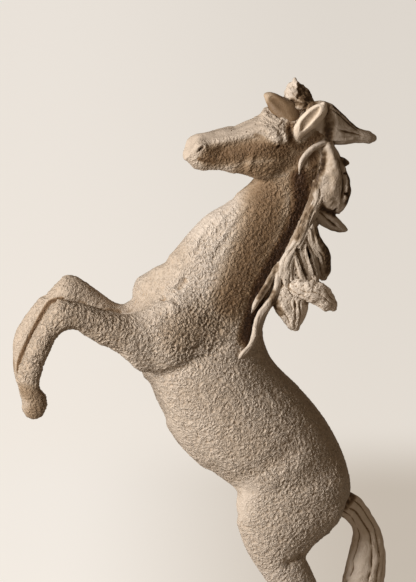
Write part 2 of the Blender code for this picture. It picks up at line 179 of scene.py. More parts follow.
VIEW = PhotoView()


def smooth_rows(rows: Sequence[Sequence[float]], steps: int) -> np.ndarray:
    """Rows of numbers resampled along a curve through them.

    Args:
        rows: The rows that the curve goes through.
        steps: How many steps each span is given.

    Returns:
        The new rows, the first and last as they were.
    """
    knots = np.asarray(rows, float)
    ends = np.vstack([2 * knots[0] - knots[1], knots, 2 * knots[-1] - knots[-2]])
    out = []
    for before, start, end, after in zip(ends, ends[1:], ends[2:], ends[3:]):
        for t in np.arange(steps) / steps:
            bend = 2 * before - 5 * start + 4 * end - after
            twist = 3 * (start - end) + after - before
            out.append(start + 0.5 * t * (end - before + t * (bend + t * twist)))
    out.append(knots[-1])
    return np.array(out)


def smooth_step(value: np.ndarray, low: float, high: float) -> np.ndarray:
    """A soft switch from 0 at low to 1 at high."""
    share = np.clip((value - low) / (high - low), 0, 1)
    return share * share * (3 - 2 * share)


def footing(path: np.ndarray, points: np.ndarray) -> tuple[np.ndarray, np.ndarray, np.ndarray]:
    """The nearest place on a path for each point.

    Args:
        path: Points along the path.
        points: The points to place.

    Returns:
        The share of the way along the path, the nearest place and the distance to it.
    """
    best, share = np.full(len(points), np.inf), np.zeros(len(points))
    foot = np.zeros_like(points)
    for i, (start, end) in enumerate(zip(path, path[1:])):
        way = end - start
        t = np.clip((points - start) @ way / max(way @ way, 1e-18), 0, 1)
        place = start + t[:, None] * way
        gap = np.linalg.norm(points - place, axis=1)
        closer = gap < best
        best[closer], foot[closer] = gap[closer], place[closer]
        share[closer] = (i + t[closer]) / (len(path) - 1)
    return share, foot, best


def evaluated(mesh: bpy.types.Mesh, *settings: tuple[str, dict]) -> bpy.types.Mesh:
    """A mesh after modifiers.

    Args:
        mesh: The mesh to start from.
        settings: Each modifier's type and its values.

    Returns:
        A new mesh with the modifiers applied.
    """
    made = bpy.data.objects.new("working", mesh)
    bpy.context.scene.collection.objects.link(made)
    for kind, values in settings:
        modifier = made.modifiers.new(kind.title(), kind)
        for key, value in values.items():
            setattr(modifier, key, value)
    done = bpy.data.meshes.new_from_object(made.evaluated_get(bpy.context.evaluated_depsgraph_get()))
    bpy.data.objects.remove(made, do_unlink=True)
    return done


def mesh_from(bm: bmesh.types.BMesh, name: str) -> bpy.types.Mesh:
    """Turns a bmesh into a mesh and frees it.

    Args:
        bm: The bmesh, which is gone afterwards.
        name: The mesh's name.

    Returns:
        The new mesh.
    """
    mesh = bpy.data.meshes.new(name)
    bm.to_mesh(mesh)
    bm.free()
    return mesh


def tube(bm: bmesh.types.BMesh, centres: np.ndarray, across: np.ndarray, through: np.ndarray,
         sides: int = 48) -> None:
    """Adds a closed tube of oval rings with rounded ends.

    Args:
        bm: Where the tube is added.
        centres: Middle of each ring.
        across: Half axis of each ring across the tube.
        through: Half axis of each ring through the tube.
        sides: Points on a ring.
    """
    turns = 2 * np.pi * np.arange(sides) / sides
    rings = list(zip(centres, across, through))
    for end, step in ((0, 1), (-1, -2)):
        centre, wide, thick = rings[end]
        along = centre - rings[step][0]
        reach = min(np.linalg.norm(wide), np.linalg.norm(thick))
        along = along * reach / max(np.linalg.norm(along), 1e-9)
        domes = [(centre + along * math.sin(a), wide * math.cos(a), thick * math.cos(a))
                 for a in (math.radians(30), math.radians(60), math.radians(80))]
        rings = domes[::-1] + rings if end == 0 else rings + domes
    face = None
    for centre, wide, thick in rings:
        points = centre + np.outer(np.cos(turns), wide) + np.outer(np.sin(turns), thick)
        if face is None:
            face = bm.faces.new([bm.verts.new(point) for point in points])
            first = list(face.verts)
            continue
        face = bmesh.ops.extrude_discrete_faces(bm, faces=[face])["faces"][0]
        for vert, point in zip(face.verts, points):
            vert.co = point
    bm.faces.new(first[::-1])
    bmesh.ops.recalc_face_normals(bm, faces=bm.faces)


class Clay:
    """A mesh's points as arrays, with the tools that model them."""

    def __init__(self, mesh: bpy.types.Mesh) -> None:
        """Reads the mesh's points and which of them are neighbours."""
        self.mesh = mesh
        self.count = len(mesh.vertices)
        points = np.empty(3 * self.count, np.float32)
        mesh.vertices.foreach_get("co", points)
        self.points = points.reshape(-1, 3).astype(float)
        pairs = np.empty(2 * len(mesh.edges), np.int32)
        mesh.edges.foreach_get("vertices", pairs)
        one, two = pairs.reshape(-1, 2).T
        self.ends = np.concatenate([one, two])
        self.others = np.concatenate([two, one])
        self.degree = np.maximum(np.bincount(self.ends, minlength=self.count), 1)

    def mean(self, values: np.ndarray) -> np.ndarray:
        """The mean of each point's neighbours, for one number or several per point."""
        if values.ndim > 1:
            return np.column_stack([self.mean(column) for column in values.T])
        return np.bincount(self.ends, values[self.others], self.count) / self.degree

    def blurred(self, values: np.ndarray, rounds: int) -> np.ndarray:
        """Values spread over the skin by taking the neighbours' mean a number of times."""
        for _ in range(rounds):
            values = 0.5 * (values + self.mean(values))
        return values

    def relax(self, rounds: int, shrink: float = 0.5, swell: float = -0.52) -> None:
        """Smooths the points, each round shrinking and then swelling so that the form keeps its size."""
        for _ in range(rounds):
            for step in (shrink, swell):
                self.points += step * (self.mean(self.points) - self.points)

    def soften(self, cover: np.ndarray, rounds: int) -> None:
        """Draws covered points level with their neighbours a number of times."""
        for _ in range(rounds):
            self.points += 0.7 * cover[:, None] * (self.mean(self.points) - self.points)

    def normals(self) -> np.ndarray:
        """Outward direction at each point."""
        self.write()
        found = np.empty(3 * self.count, np.float32)
        self.mesh.vertex_normals.foreach_get("vector", found)
        return found.reshape(-1, 3).astype(float)

    def hollows(self, rounds: int) -> np.ndarray:
        """How deep each point lies under its smoothed surroundings, in metres."""
        return np.einsum("ij,ij->i", self.blurred(self.points, rounds) - self.points, self.normals())

    def lift(self, heights: np.ndarray) -> None:
        """Moves the points out by their heights."""
        self.points += self.normals() * heights[:, None]

    def along(self, path: np.ndarray, radius: float) -> tuple[np.ndarray, np.ndarray, np.ndarray]:
        """Points near a path.

        Args:
            path: Points along the path.
            radius: How far from the path a point may lie.

        Returns:
            The points' numbers, their nearness from 0 to 1 and their share of the way along.
        """
        low, high = path.min(0) - radius, path.max(0) + radius
        near = np.flatnonzero(((self.points > low) & (self.points < high)).all(1))
        share, _, gap = footing(path, self.points[near])
        return near, np.clip(1 - gap / radius, 0, 1), share

    def stroke(self, path: np.ndarray, radius: float, height: float, tool: Tool, outward: np.ndarray) -> None:
        """Runs a tool over the skin, fading in and out at the path's ends.

        Args:
            path: Points along the stroke.
            radius: Half the tool's width.
            height: How far the tool raises the skin, or presses it in where negative.
            tool: How the stroke falls off from its path.
            outward: The skin's outward direction at every point.
        """
        near, reach, share = self.along(path, radius)
        fade = smooth_step(np.minimum(share, 1 - share), -0.08, 0.25)
        fall = reach ** 1.5 if tool is Tool.SCORE else smooth_step(reach, 0, 1)
        self.points[near] += outward[near] * (height * fall * fade)[:, None]

    def paint(self, name: str, values: np.ndarray) -> None:
        """Keeps a number for each point on the mesh, for the finish to read."""
        layer = self.mesh.attributes.get(name) or self.mesh.attributes.new(name, "FLOAT", "POINT")
        layer.data.foreach_set("value", values.astype(np.float32))

    def tree(self) -> BVHTree:
        """The faces as they are now, for finding places on them."""
        faces = [list(face.vertices) for face in self.mesh.polygons]
        return BVHTree.FromPolygons(self.points.tolist(), faces)

    def write(self) -> bpy.types.Mesh:
        """Puts the points back on the mesh."""
        self.mesh.vertices.foreach_set("co", self.points.astype(np.float32).ravel())
        self.mesh.update()
        return self.mesh


class Graph:
    """The nodes of a material or a world, added one call at a time."""

    def __init__(self, owner: bpy.types.Material | bpy.types.World) -> None:
        """Starts the owner's tree with no nodes at all."""
        self.owner = owner
        owner.use_nodes = True
        self.tree = owner.node_tree
        self.tree.nodes.clear()

    def add(self, kind: str, inputs: dict | None = None, **settings: object) -> bpy.types.Node:
        """Adds a node.

        Args:
            kind: The node's type, without its ShaderNode prefix.
            inputs: Sockets by name or number, each given a value or another node's output.
            settings: The node's own settings.

        Returns:
            The new node.
        """
        made = self.tree.nodes.new("ShaderNode" + kind)
        for key, value in settings.items():
            setattr(made, key, value)
        for key, value in (inputs or {}).items():
            if isinstance(value, Socket):
                self.tree.links.new(value, made.inputs[key])
            else:
                made.inputs[key].default_value = value
        return made

    def mixed(self, share: Socket, one: Socket | Colour, two: Socket | Colour) -> Socket:
        """A colour between two, by a share."""
        pair = [(*value, 1) if isinstance(value, tuple) else value for value in (one, two)]
        return self.add("Mix", {0: share, 6: pair[0], 7: pair[1]}, data_type="RGBA").outputs[2]

    def ramp(self, value: Socket, low: float, high: float) -> Socket:
        """A soft switch from 0 at low to 1 at high."""
        return self.add("MapRange", {0: value, 1: low, 2: high}, interpolation_type="SMOOTHSTEP").outputs[0]

    def math(self, operation: str, one: Socket | float, two: Socket | float) -> Socket:
        """Two numbers combined."""
        return self.add("Math", {0: one, 1: two}, operation=operation).outputs[0]

    def noise(self, place: Socket, scale: float, detail: float, roughness: float = 0.5,
              twist: float = 0.0) -> Socket:
        """Cloudy noise, from 0 to 1.

        Args:
            place: The point that is coloured.
            scale: How many clouds there are in a metre.
            detail: How many finer layers of cloud there are.
            roughness: How strong each finer layer is.
            twist: How far the clouds are pulled about.

        Returns:
            The noise.
        """
        values = {"Scale": scale, "Detail": detail, "Roughness": roughness, "Distortion": twist}
        return self.add("TexNoise", {"Vector": place, **values}).outputs[0]


@dataclass(frozen=True)
class StoneFinish:
    """Cast stone brushed into short ridges, under a brown film of glaze in its hollows and painted shade."""

    name: str
    stone: Colour = (0.60, 0.511, 0.430)
    pale: Colour = (0.65, 0.563, 0.482)
    glaze_and_shade_colour: Colour = (0.28, 0.19, 0.11)
    roughness: float = 0.66
    gloss: float = 0.4
    grain: float = 1.75 * MM
    width: float = 0.2
    ridge_height: float = 0.6 * MM
    fine_grain: float = 0.55
    fine_height: float = 0.6
    sand_scale: float = 3.0
    sand_height: float = 0.10 * MM
    valley_glaze_and_shade: float = 0.07
    mottle_scale: float = 45.0
    mottle_film: float = 0.15
    pinholes: float = 6 * MM
    pinhole_depth: float = 0.6 * MM
    pinhole_film: float = 1.5

    def material(self) -> bpy.types.Material:
        """Builds the finish from object-space noise and the glaze painted on each piece."""
        g = Graph(bpy.data.materials.new(self.name))
        place = g.add("TexCoord").outputs["Object"]
        # Glaze and painted shade, as painted on each piece's points.
        glaze_and_shade = g.add("Attribute", attribute_name="glaze_and_shade").outputs["Fac"]
        rough = g.add("Attribute", attribute_name="rough").outputs["Fac"]
        mottle = g.noise(place, self.mottle_scale, 4.0, 0.6)
        sand = g.noise(place, self.sand_scale / self.grain, 1.0)
        fine = g.math("MULTIPLY", self.worm(g, place, self.fine_grain * self.grain), self.fine_height)
        ridge = g.math("MAXIMUM", self.worm(g, place, self.grain), fine)
        hole = self.pinhole(g, place)
        height = g.math("ADD", g.math("MULTIPLY", ridge, self.ridge_height),
                        g.math("MULTIPLY", sand, self.sand_height))
        height = g.math("SUBTRACT", g.math("MULTIPLY", height, rough),
                        g.math("MULTIPLY", hole, self.pinhole_depth))
        # The low ground between the ridges is darkened, partly glaze and partly painted shade.
        low = g.math("MULTIPLY", g.math("MULTIPLY", g.math("SUBTRACT", 1.0, ridge), rough), self.valley_glaze_and_shade)
        # The film darkens the stone by glaze and painted shade, pinholes and mottle.
        film = g.math("ADD", g.math("ADD", glaze_and_shade, low), g.math("MULTIPLY", hole, self.pinhole_film))
        film = g.math("ADD", film, g.math("MULTIPLY", g.math("SUBTRACT", mottle, 0.5), self.mottle_film))
        tint = g.add("Gamma", {0: (*self.glaze_and_shade_colour, 1), 1: g.math("MAXIMUM", film, 0.0)}).outputs[0]
        stone = g.mixed(g.ramp(mottle, 0.35, 0.68), self.stone, self.pale)
        colour = g.add("Mix", {0: 1.0, 6: stone, 7: tint}, data_type="RGBA", blend_type="MULTIPLY").outputs[2]
        bump = g.add("Bump", {"Height": height, "Distance": 1.0, "Strength": 1.0}).outputs[0]
        shader = g.add("BsdfPrincipled", {"Base Color": colour, "Roughness": self.roughness,
                                          "Specular IOR Level": self.gloss, "Normal": bump}).outputs[0]
        g.add("OutputMaterial", {0: shader})
        return g.owner

    def pinhole(self, g: Graph, place: Socket) -> Socket:
        """A few pinholes, 1 inside them and 0 elsewhere.

        Args:
            g: The material's nodes.
            place: The point that is coloured.

        Returns:
            Whether the point lies in a hole.
        """
        cells = g.add("TexVoronoi", {"Vector": place, "Scale": 1 / self.pinholes})
        rare = g.add("SeparateColor", {0: cells.outputs["Color"]}).outputs[0]
        return g.math("MULTIPLY", g.ramp(cells.outputs["Distance"], 0.075, 0.035), g.ramp(rare, 0.80, 0.82))

    def worm(self, g: Graph, place: Socket, spacing: float) -> Socket:
        """Short winding ridges, from 0 between them to 1 on their tops.

        Args:
            g: The material's nodes.
            place: The point that is coloured.
            spacing: About how far the ridges lie apart.

        Returns:
            The ridges' height.
        """
        line = g.noise(place, 1 / spacing, 0.0, twist=0.6)
        line = g.ramp(g.math("ABSOLUTE", g.math("SUBTRACT", line, 0.5), 0.0), self.width, 0.0)
        broken = g.noise(place, 0.45 / spacing, 0.0)
        return g.math("MULTIPLY", line, g.ramp(broken, 0.3, 0.55))


@dataclass(frozen=True)
class SteelFinish:
    """Plain drawn rod."""

    name: str = "drawn_steel"
    steel: Colour = (0.55, 0.55, 0.56)
    dull: Colour = (0.38, 0.37, 0.36)
    roughness: float = 0.35
    scratch_scale: float = 900.0
    scratch_depth: float = 0.02 * MM

    def material(self) -> bpy.types.Material:
        """Builds the finish with fine scratches."""
        g = Graph(bpy.data.materials.new(self.name))
        scratch = g.noise(g.add("TexCoord").outputs["Object"], self.scratch_scale, 2.0)
        bump = g.add("Bump", {"Height": scratch, "Distance": self.scratch_depth}).outputs[0]
        colour = g.mixed(scratch, self.steel, self.dull)
        shader = g.add("BsdfPrincipled", {"Base Color": colour, "Metallic": 1.0, "Roughness": self.roughness,
                                          "Normal": bump}).outputs[0]
        g.add("OutputMaterial", {0: shader})
        return g.owner


COAT_FINISH = StoneFinish("stippled_stone")
# A darker film for the hair: glaze, and painted shade deep brown in its grooves and recesses.
HAIR_GLAZE_AND_SHADE = (0.15, 0.10, 0.056)
HAIR_FINISH = StoneFinish("modelled_stone", stone=(0.57, 0.476, 0.388), pale=(0.64, 0.547, 0.46),
                          glaze_and_shade_colour=HAIR_GLAZE_AND_SHADE, roughness=0.62)
# A paler copy of the hair's stone for parts that should look more lit: painted light.
PAINTED_LIGHT_FINISH = StoneFinish("painted_light_stone", stone=(0.80, 0.685, 0.575), pale=(0.86, 0.745, 0.635),
                            glaze_and_shade_colour=HAIR_GLAZE_AND_SHADE, roughness=0.62)


def add_piece(name: str, mesh: bpy.types.Mesh, material: bpy.types.Material, slot: Slot,
              *nodes: str) -> bpy.types.Object:
    """Puts a finished mesh in the scene in place of frame nodes.

    Args:
        name: The piece's name.
        mesh: Its mesh, in the figure's frame.
        material: Its finish.
        slot: The record's slot for that finish; not used.
        nodes: The frame's nodes that it stands for.

    Returns:
        The piece.
    """
    mesh.name = name
    mesh.materials.clear()
    mesh.materials.append(material)
    mesh.shade_smooth()
    piece = bpy.data.objects.new(name, mesh)
    bpy.context.scene.collection.objects.link(piece)
    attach(piece, BODY)
    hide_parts(*nodes)
    LOG.info("%s: %d faces, stands for %s", name, len(mesh.polygons), ", ".join(nodes))
    return piece


class Parting:
    """Several bodies, and which of them any place lies nearest to."""

    def __init__(self, bodies: dict[str, bpy.types.Mesh]) -> None:
        """Gathers the bodies' faces."""
        self.names = list(bodies)
        corners, faces, self.owner = [], [], []
        for index, data in enumerate(bodies.values()):
            start = len(corners)
            corners += [vert.co.copy() for vert in data.vertices]
            faces += [[start + v for v in face.vertices] for face in data.polygons]
            self.owner += [index] * len(data.polygons)
        self.tree = BVHTree.FromPolygons(corners, faces)

    def owners(self, points: np.ndarray) -> np.ndarray:
        """The number of the nearest body for each point."""
        return np.array([self.owner[self.tree.find_nearest(point)[2]] for point in points.tolist()])

    def table(self, points: np.ndarray, values: dict[str, float]) -> np.ndarray:
        """Each point's value, from a table by body."""
        return np.array([values[name] for name in self.names])[self.owners(points)]

    def parts(self, skin: bpy.types.Mesh,
              halves: dict[str, float]) -> Iterator[tuple[str, str, bpy.types.Mesh]]:
        """Cuts a skin up along the bodies and closes each part.

        Args:
            skin: The skin that covers all the bodies.
            halves: Heights at which a large body's part is cut in two.

        Yields:
            The body's name, an ending for the part's own name and the part's mesh.
        """
        centres = np.empty(3 * len(skin.polygons), np.float32)
        skin.polygons.foreach_get("center", centres)
        centres = centres.reshape(-1, 3)
        owners = self.owners(centres)
        whole = bmesh.new()
        whole.from_mesh(skin)
        for index, name in enumerate(self.names):
            own = owners == index
            shares = {"": own}
            if name in halves:
                above = centres[:, 2] > halves[name]
                shares = {"_upper": own & above, "_lower": own & ~above}
            for ending, keep in shares.items():
                bm = whole.copy()
                dropped = [face for face, kept in zip(bm.faces, keep) if not kept]
                bmesh.ops.delete(bm, geom=dropped, context="FACES")
                rims = [edge for edge in bm.edges if edge.is_boundary]
                for edge in rims:
                    edge.smooth = False
                bmesh.ops.holes_fill(bm, edges=rims, sides=0)
                yield name, ending, mesh_from(bm, name)
        whole.free()


@dataclass(frozen=True)
class Stroke:
    """One pass of a modelling tool over the skin, drawn on the photograph."""

    path: tuple[Pixel, ...]
    radius: float
    height: float
    tool: Tool = Tool.ROLL
    both: bool = True


@dataclass(frozen=True)
class Nudge:
    """Clay moved across the photograph along a line of pixels, less so out to a radius in pixels.

    A side of -1 moves only the near half of the figure, and 1 only the far half.
    """

    path: tuple[Pixel, ...]
    shift: Pixel
    radius: float
    side: int = 0

    def apply(self, clay: Clay) -> None:
        """Moves the clay, at every depth of its side."""
        gap = footing(np.array(self.path, float), VIEW.pixels(clay.points))[2]
        share = smooth_step(1 - gap / self.radius, 0, 1) * VIEW.pixel
        if self.side:
            share = np.where(self.side * clay.points[:, 1] > 0, share, 0)
        way = VIEW.right * self.shift[0] - VIEW.up * self.shift[1]
        clay.points += share[:, None] * np.array(way)


@dataclass(frozen=True)
class Patch:
    """A soft band over the skin, drawn on the photograph.

    The amount is a share of stipple, of glaze with painted shade, or a number of rounds of smoothing.
    """

    path: tuple[Pixel, ...]
    radius: float
    amount: float
    both: bool = True


def drawn(tree: BVHTree, pixels: tuple[Pixel, ...], both: bool) -> list[np.ndarray]:
    """Where a line drawn on the photograph runs over a skin.

    Args:
        tree: The skin's faces.
        pixels: The line.
        both: Whether it also runs over the far side.

    Returns:
        The line on the near side, and its mirror image on the far side.
    """
    hits = [tree.ray_cast(*VIEW.ray(x, y))[0] for x, y in smooth_rows(pixels, 5)]
    near = np.array([hit for hit in hits if hit is not None])
    if len(near) < 2:
        LOG.warning("a line at %s misses the skin", pixels[0])
        return []
    return [near, np.array([tree.find_nearest((x, -y, z))[0] for x, y, z in near])] if both else [near]


def blotches(points: np.ndarray) -> np.ndarray:
    """An uneven brush's share of its load at each point, about 1."""
    return np.array([1 + 0.9 * noise.noise(point / (1.6 * MM)) + 0.5 * noise.noise(point / (5 * MM))
                     for point in map(Vector, points.tolist())])


def spread(clay: Clay, tree: BVHTree, patch: Patch) -> np.ndarray:
    """How strongly a patch covers a skin.

    Args:
        clay: The skin.
        tree: Its faces as they were when the patch was drawn.
        patch: The patch.

    Returns:
        A share from 0 to 1 for each point.
    """
    cover = np.zeros(clay.count)
    for path in drawn(tree, patch.path, patch.both):
        near, reach, _ = clay.along(path, patch.radius)
        cover[near] = np.maximum(cover[near], smooth_step(reach, 0, 0.85))
    return cover


@dataclass(frozen=True)
class HollowGlazeAndShade:
    """Brown glaze with painted shade in the hollows, by how deep they lie under their smoothed surroundings.
    """

    share: float
    rounds: int
    shallow: float
    deep: float

    def over(self, clay: Clay) -> np.ndarray:
        """How much glaze and painted shade each point holds."""
        return self.share * smooth_step(clay.hollows(self.rounds), self.shallow, self.deep)


@dataclass(frozen=True)
class Stipple:
    """Brushed roughcast: low lumps under the finish's ridges."""

    spacing: float = 1.85 * MM
    depth: float = 0.52 * MM

    def height(self, point: np.ndarray) -> float:
        """How far the coat stands out at a point, from about -1 to 1."""
        place = Vector(point) / self.spacing
        place += 0.4 * noise.noise_vector(place * 0.6)
        return 0.4 - 1.6 * abs(noise.noise(place)) + 0.6 * noise.noise(place * 1.9 + Vector((7.1, 3.3, 1.7)))


@dataclass
class Coat:
    """The horse's skin: castings fused, modelled, stippled, glazed with painted shade and parted again.

    Levels and rounding smooth the plain skin, and nudges move it between the two. Strokes then model it.
    Calm scales the stipple, painted shade darkens the glaze and shade removed thins it. All are drawn on the
    photograph.
    """

    castings: tuple[str, ...] = ("torso", "neck", "head", "left_foreleg", "right_foreleg", "left_hind_leg",
                                 "right_hind_leg")
    plugs: tuple[str, ...] = ("left_eye", "right_eye")
    merge: float = 0.001 * MM
    seal: float = 0.25 * MM
    cell: float = 1.0 * MM
    relaxing: int = 50
    settling: int = 8
    face_above: float = 4 * MM
    face_before: float = 58 * MM
    stipple: Stipple = Stipple()
    # Glaze and painted shade in the hollows, fine and wide.
    fine: HollowGlazeAndShade = HollowGlazeAndShade(0.16, 8, 0.0, 0.2 * MM)
    wide: HollowGlazeAndShade = HollowGlazeAndShade(0.3, 60, 0.1 * MM, 1.0 * MM)
    glaze_and_shade_limit: float = 2.0
    roughness_blend: int = 40
    tint_blend: int = 60
    roughness: dict[str, float] = field(default_factory=lambda: {
        "torso": 0.85, "neck": 0.85, "head": 0.6, "left_foreleg": 1.05, "right_foreleg": 0.6,
        "left_hind_leg": 0.85, "right_hind_leg": 0.85})
    tint: dict[str, float] = field(default_factory=lambda: {
        "torso": 0.05, "neck": 0.0, "head": 0.1, "left_foreleg": 0.14, "right_foreleg": 0.14,
        "left_hind_leg": 0.0, "right_hind_leg": 0.0})
    halves: dict[str, float] = field(default_factory=lambda: {"torso": 175 * MM})
    levels: dict[str, Patch] = field(default_factory=lambda: {
        "breast": Patch(((166, 282), (152, 290), (146, 300)), 15 * MM, 130),
        "shoulder": Patch(((164, 302), (176, 310), (196, 312), (214, 316)), 17 * MM, 140),
        "eye": Patch(((272, 138), (284, 138)), 6 * MM, 20),
    })
    nudges: dict[str, Nudge] = field(default_factory=lambda: {
        "breast": Nudge(((157, 274), (146, 284)), (-6.5, -5.5), 17),
        "breast_foot": Nudge(((127, 298), (124, 304)), (7.5, 5.5), 12),
        "muzzle": Nudge(((185, 152), (192, 138)), (0.8, 5), 8),
        "chin": Nudge(((186, 161), (192, 166)), (-0.5, 2), 7),
        "lip": Nudge(((198, 172), (208, 172)), (0, -1.5), 6),
        "brow": Nudge(((234, 123), (257, 113)), (1, 3.2), 9),
        "forehead": Nudge(((263, 112), (268, 110)), (0, -4), 6),
        "jaw": Nudge(((218, 170), (232, 172)), (0, 1.5), 8),
        "neck_front": Nudge(((176, 250), (196, 226), (216, 206), (231, 197)), (2, 1.5), 9),
        "leg_under": Nudge(((108, 350), (120, 356)), (0, -2.2), 10),
        "elbow": Nudge(((135, 368), (141, 373)), (0, 4.2), 10),
        "knee_under": Nudge(((52, 346), (57, 338), (66, 333), (76, 333)), (0.5, -3), 8),
        "knee": Nudge(((57, 281), (46, 294)), (2.5, 2), 8),
        "knee_top": Nudge(((68, 276), (77, 278)), (0, -1.8), 7),
        "belly_front": Nudge(((150, 386), (163, 416)), (3.2, -1), 12),
        "belly_low": Nudge(((214, 473), (226, 482), (234, 489)), (1.8, -2.7), 14),
        "thigh_front": Nudge(((236, 495), (237, 514)), (3, 0), 9),
        "gaskin_back": Nudge(((327, 535), (308, 552)), (3, 2.2), 9),
        "hoof": Nudge(((18, 386), (21, 402)), (2.2, 0), 8),
        "fetlock": Nudge(((42, 379), (43, 389)), (-2.5, 0), 6),
        "near_shin": Nudge(((50, 302), (38, 322), (28, 342), (20, 360)), (5, 1.5), 11, -1),
    })
    rounding: dict[str, Patch] = field(default_factory=lambda: {
        "belly": Patch(((200, 463), (210, 470), (222, 479)), 7 * MM, 30),
    })
    # Shade removed: the painted shade is thinned round the eye.
    shade_removed: dict[str, Patch] = field(default_factory=lambda: {
        "eye": Patch(((272, 136), (278, 140), (285, 138)), 4.2 * MM, 0.75),
    })
    calm: dict[str, Patch] = field(default_factory=lambda: {
        "chest": Patch(((178, 255), (152, 280), (142, 298), (134, 314)), 15 * MM, 0.7),
        "windpipe": Patch(((250, 190), (222, 208), (200, 228)), 10 * MM, 0.5),
        "nose": Patch(((186, 150), (195, 139), (215, 135), (245, 124)), 9 * MM, 0.3),
        "belly_edge": Patch(((150, 384), (160, 410), (175, 433)), 12 * MM, 0.5),
        "thigh_edge": Patch(((236, 490), (240, 510), (250, 488)), 9 * MM, 0.4),
        "hoof": Patch(((30, 395), (33, 415)), 12 * MM, 0.6),
        "shoulder": Patch(((172, 335), (190, 350), (212, 335), (205, 312)), 16 * MM, 1.7),
    })
    # Painted shade where shade falls: under the jaw and ears, beside the mane, round the eye and mouth, in
    # the creases, between the forelegs and on the sides turned from the key light.
    painted_shade: dict[str, Patch] = field(default_factory=lambda: {
        "mane_root": Patch(((300, 178), (301, 205), (289, 236), (274, 262), (261, 285), (253, 312),
                            (247, 335)),
                           8.5 * MM, 1.8, False),
        "jowl": Patch(((246, 171), (262, 171), (280, 166), (296, 158)), 10 * MM, 0.7),
        "cheek": Patch(((212, 157), (235, 154), (258, 150), (284, 152)), 9 * MM, 0.95),
        "throat": Patch(((255, 184), (272, 186), (290, 184)), 9 * MM, 0.5),
        "neck_side": Patch(((266, 195), (266, 215), (257, 245), (245, 275), (234, 300)), 17 * MM, 0.82),
        "breast": Patch(((176, 256), (152, 282), (138, 302)), 15 * MM, 0.12),
        "shoulder": Patch(((182, 334), (198, 328), (216, 322)), 17 * MM, 0.24),
        "back": Patch(((262, 352), (292, 388), (322, 425), (340, 462)), 14 * MM, 0.15),
        "under_ear": Patch(((290, 126), (290, 138), (298, 148), (312, 140)), 3.6 * MM, 1.0),
        "behind_ear": Patch(((300, 148), (312, 142), (322, 132)), 5 * MM, 0.8),
        "eye_corner": Patch(((275, 147), (279, 147), (283, 146)), 1.8 * MM, 1.2),
        "eye_front": Patch(((256, 136), (263, 139), (268, 143)), 2.6 * MM, 0.5),
        "recess": Patch(((314, 156), (313, 168), (310, 184)), 5 * MM, 1.0),
        "muzzle": Patch(((200, 159), (208, 161.5), (215, 163)), 2.2 * MM, 1.0),
        "leg_gap": Patch(((62, 299), (54, 300.5), (47.5, 305), (36.5, 324), (27, 343), (19.5, 360),
                          (17, 371)), 1.7 * MM, 1.2, False),
        "hoof": Patch(((24, 392), (40, 400), (33, 415)), 8 * MM, 0.5),
        "far_thigh": Patch(((62, 300), (80, 303), (100, 309), (118, 312)), 2.5 * MM, 0.5, False),
        "belly": Patch(((195, 395), (225, 400), (236, 445), (262, 440)), 18 * MM, 0.09, False),
        "crease": Patch(((226, 480), (250, 474), (275, 462), (296, 446)), 6 * MM, 0.1, False),
    })
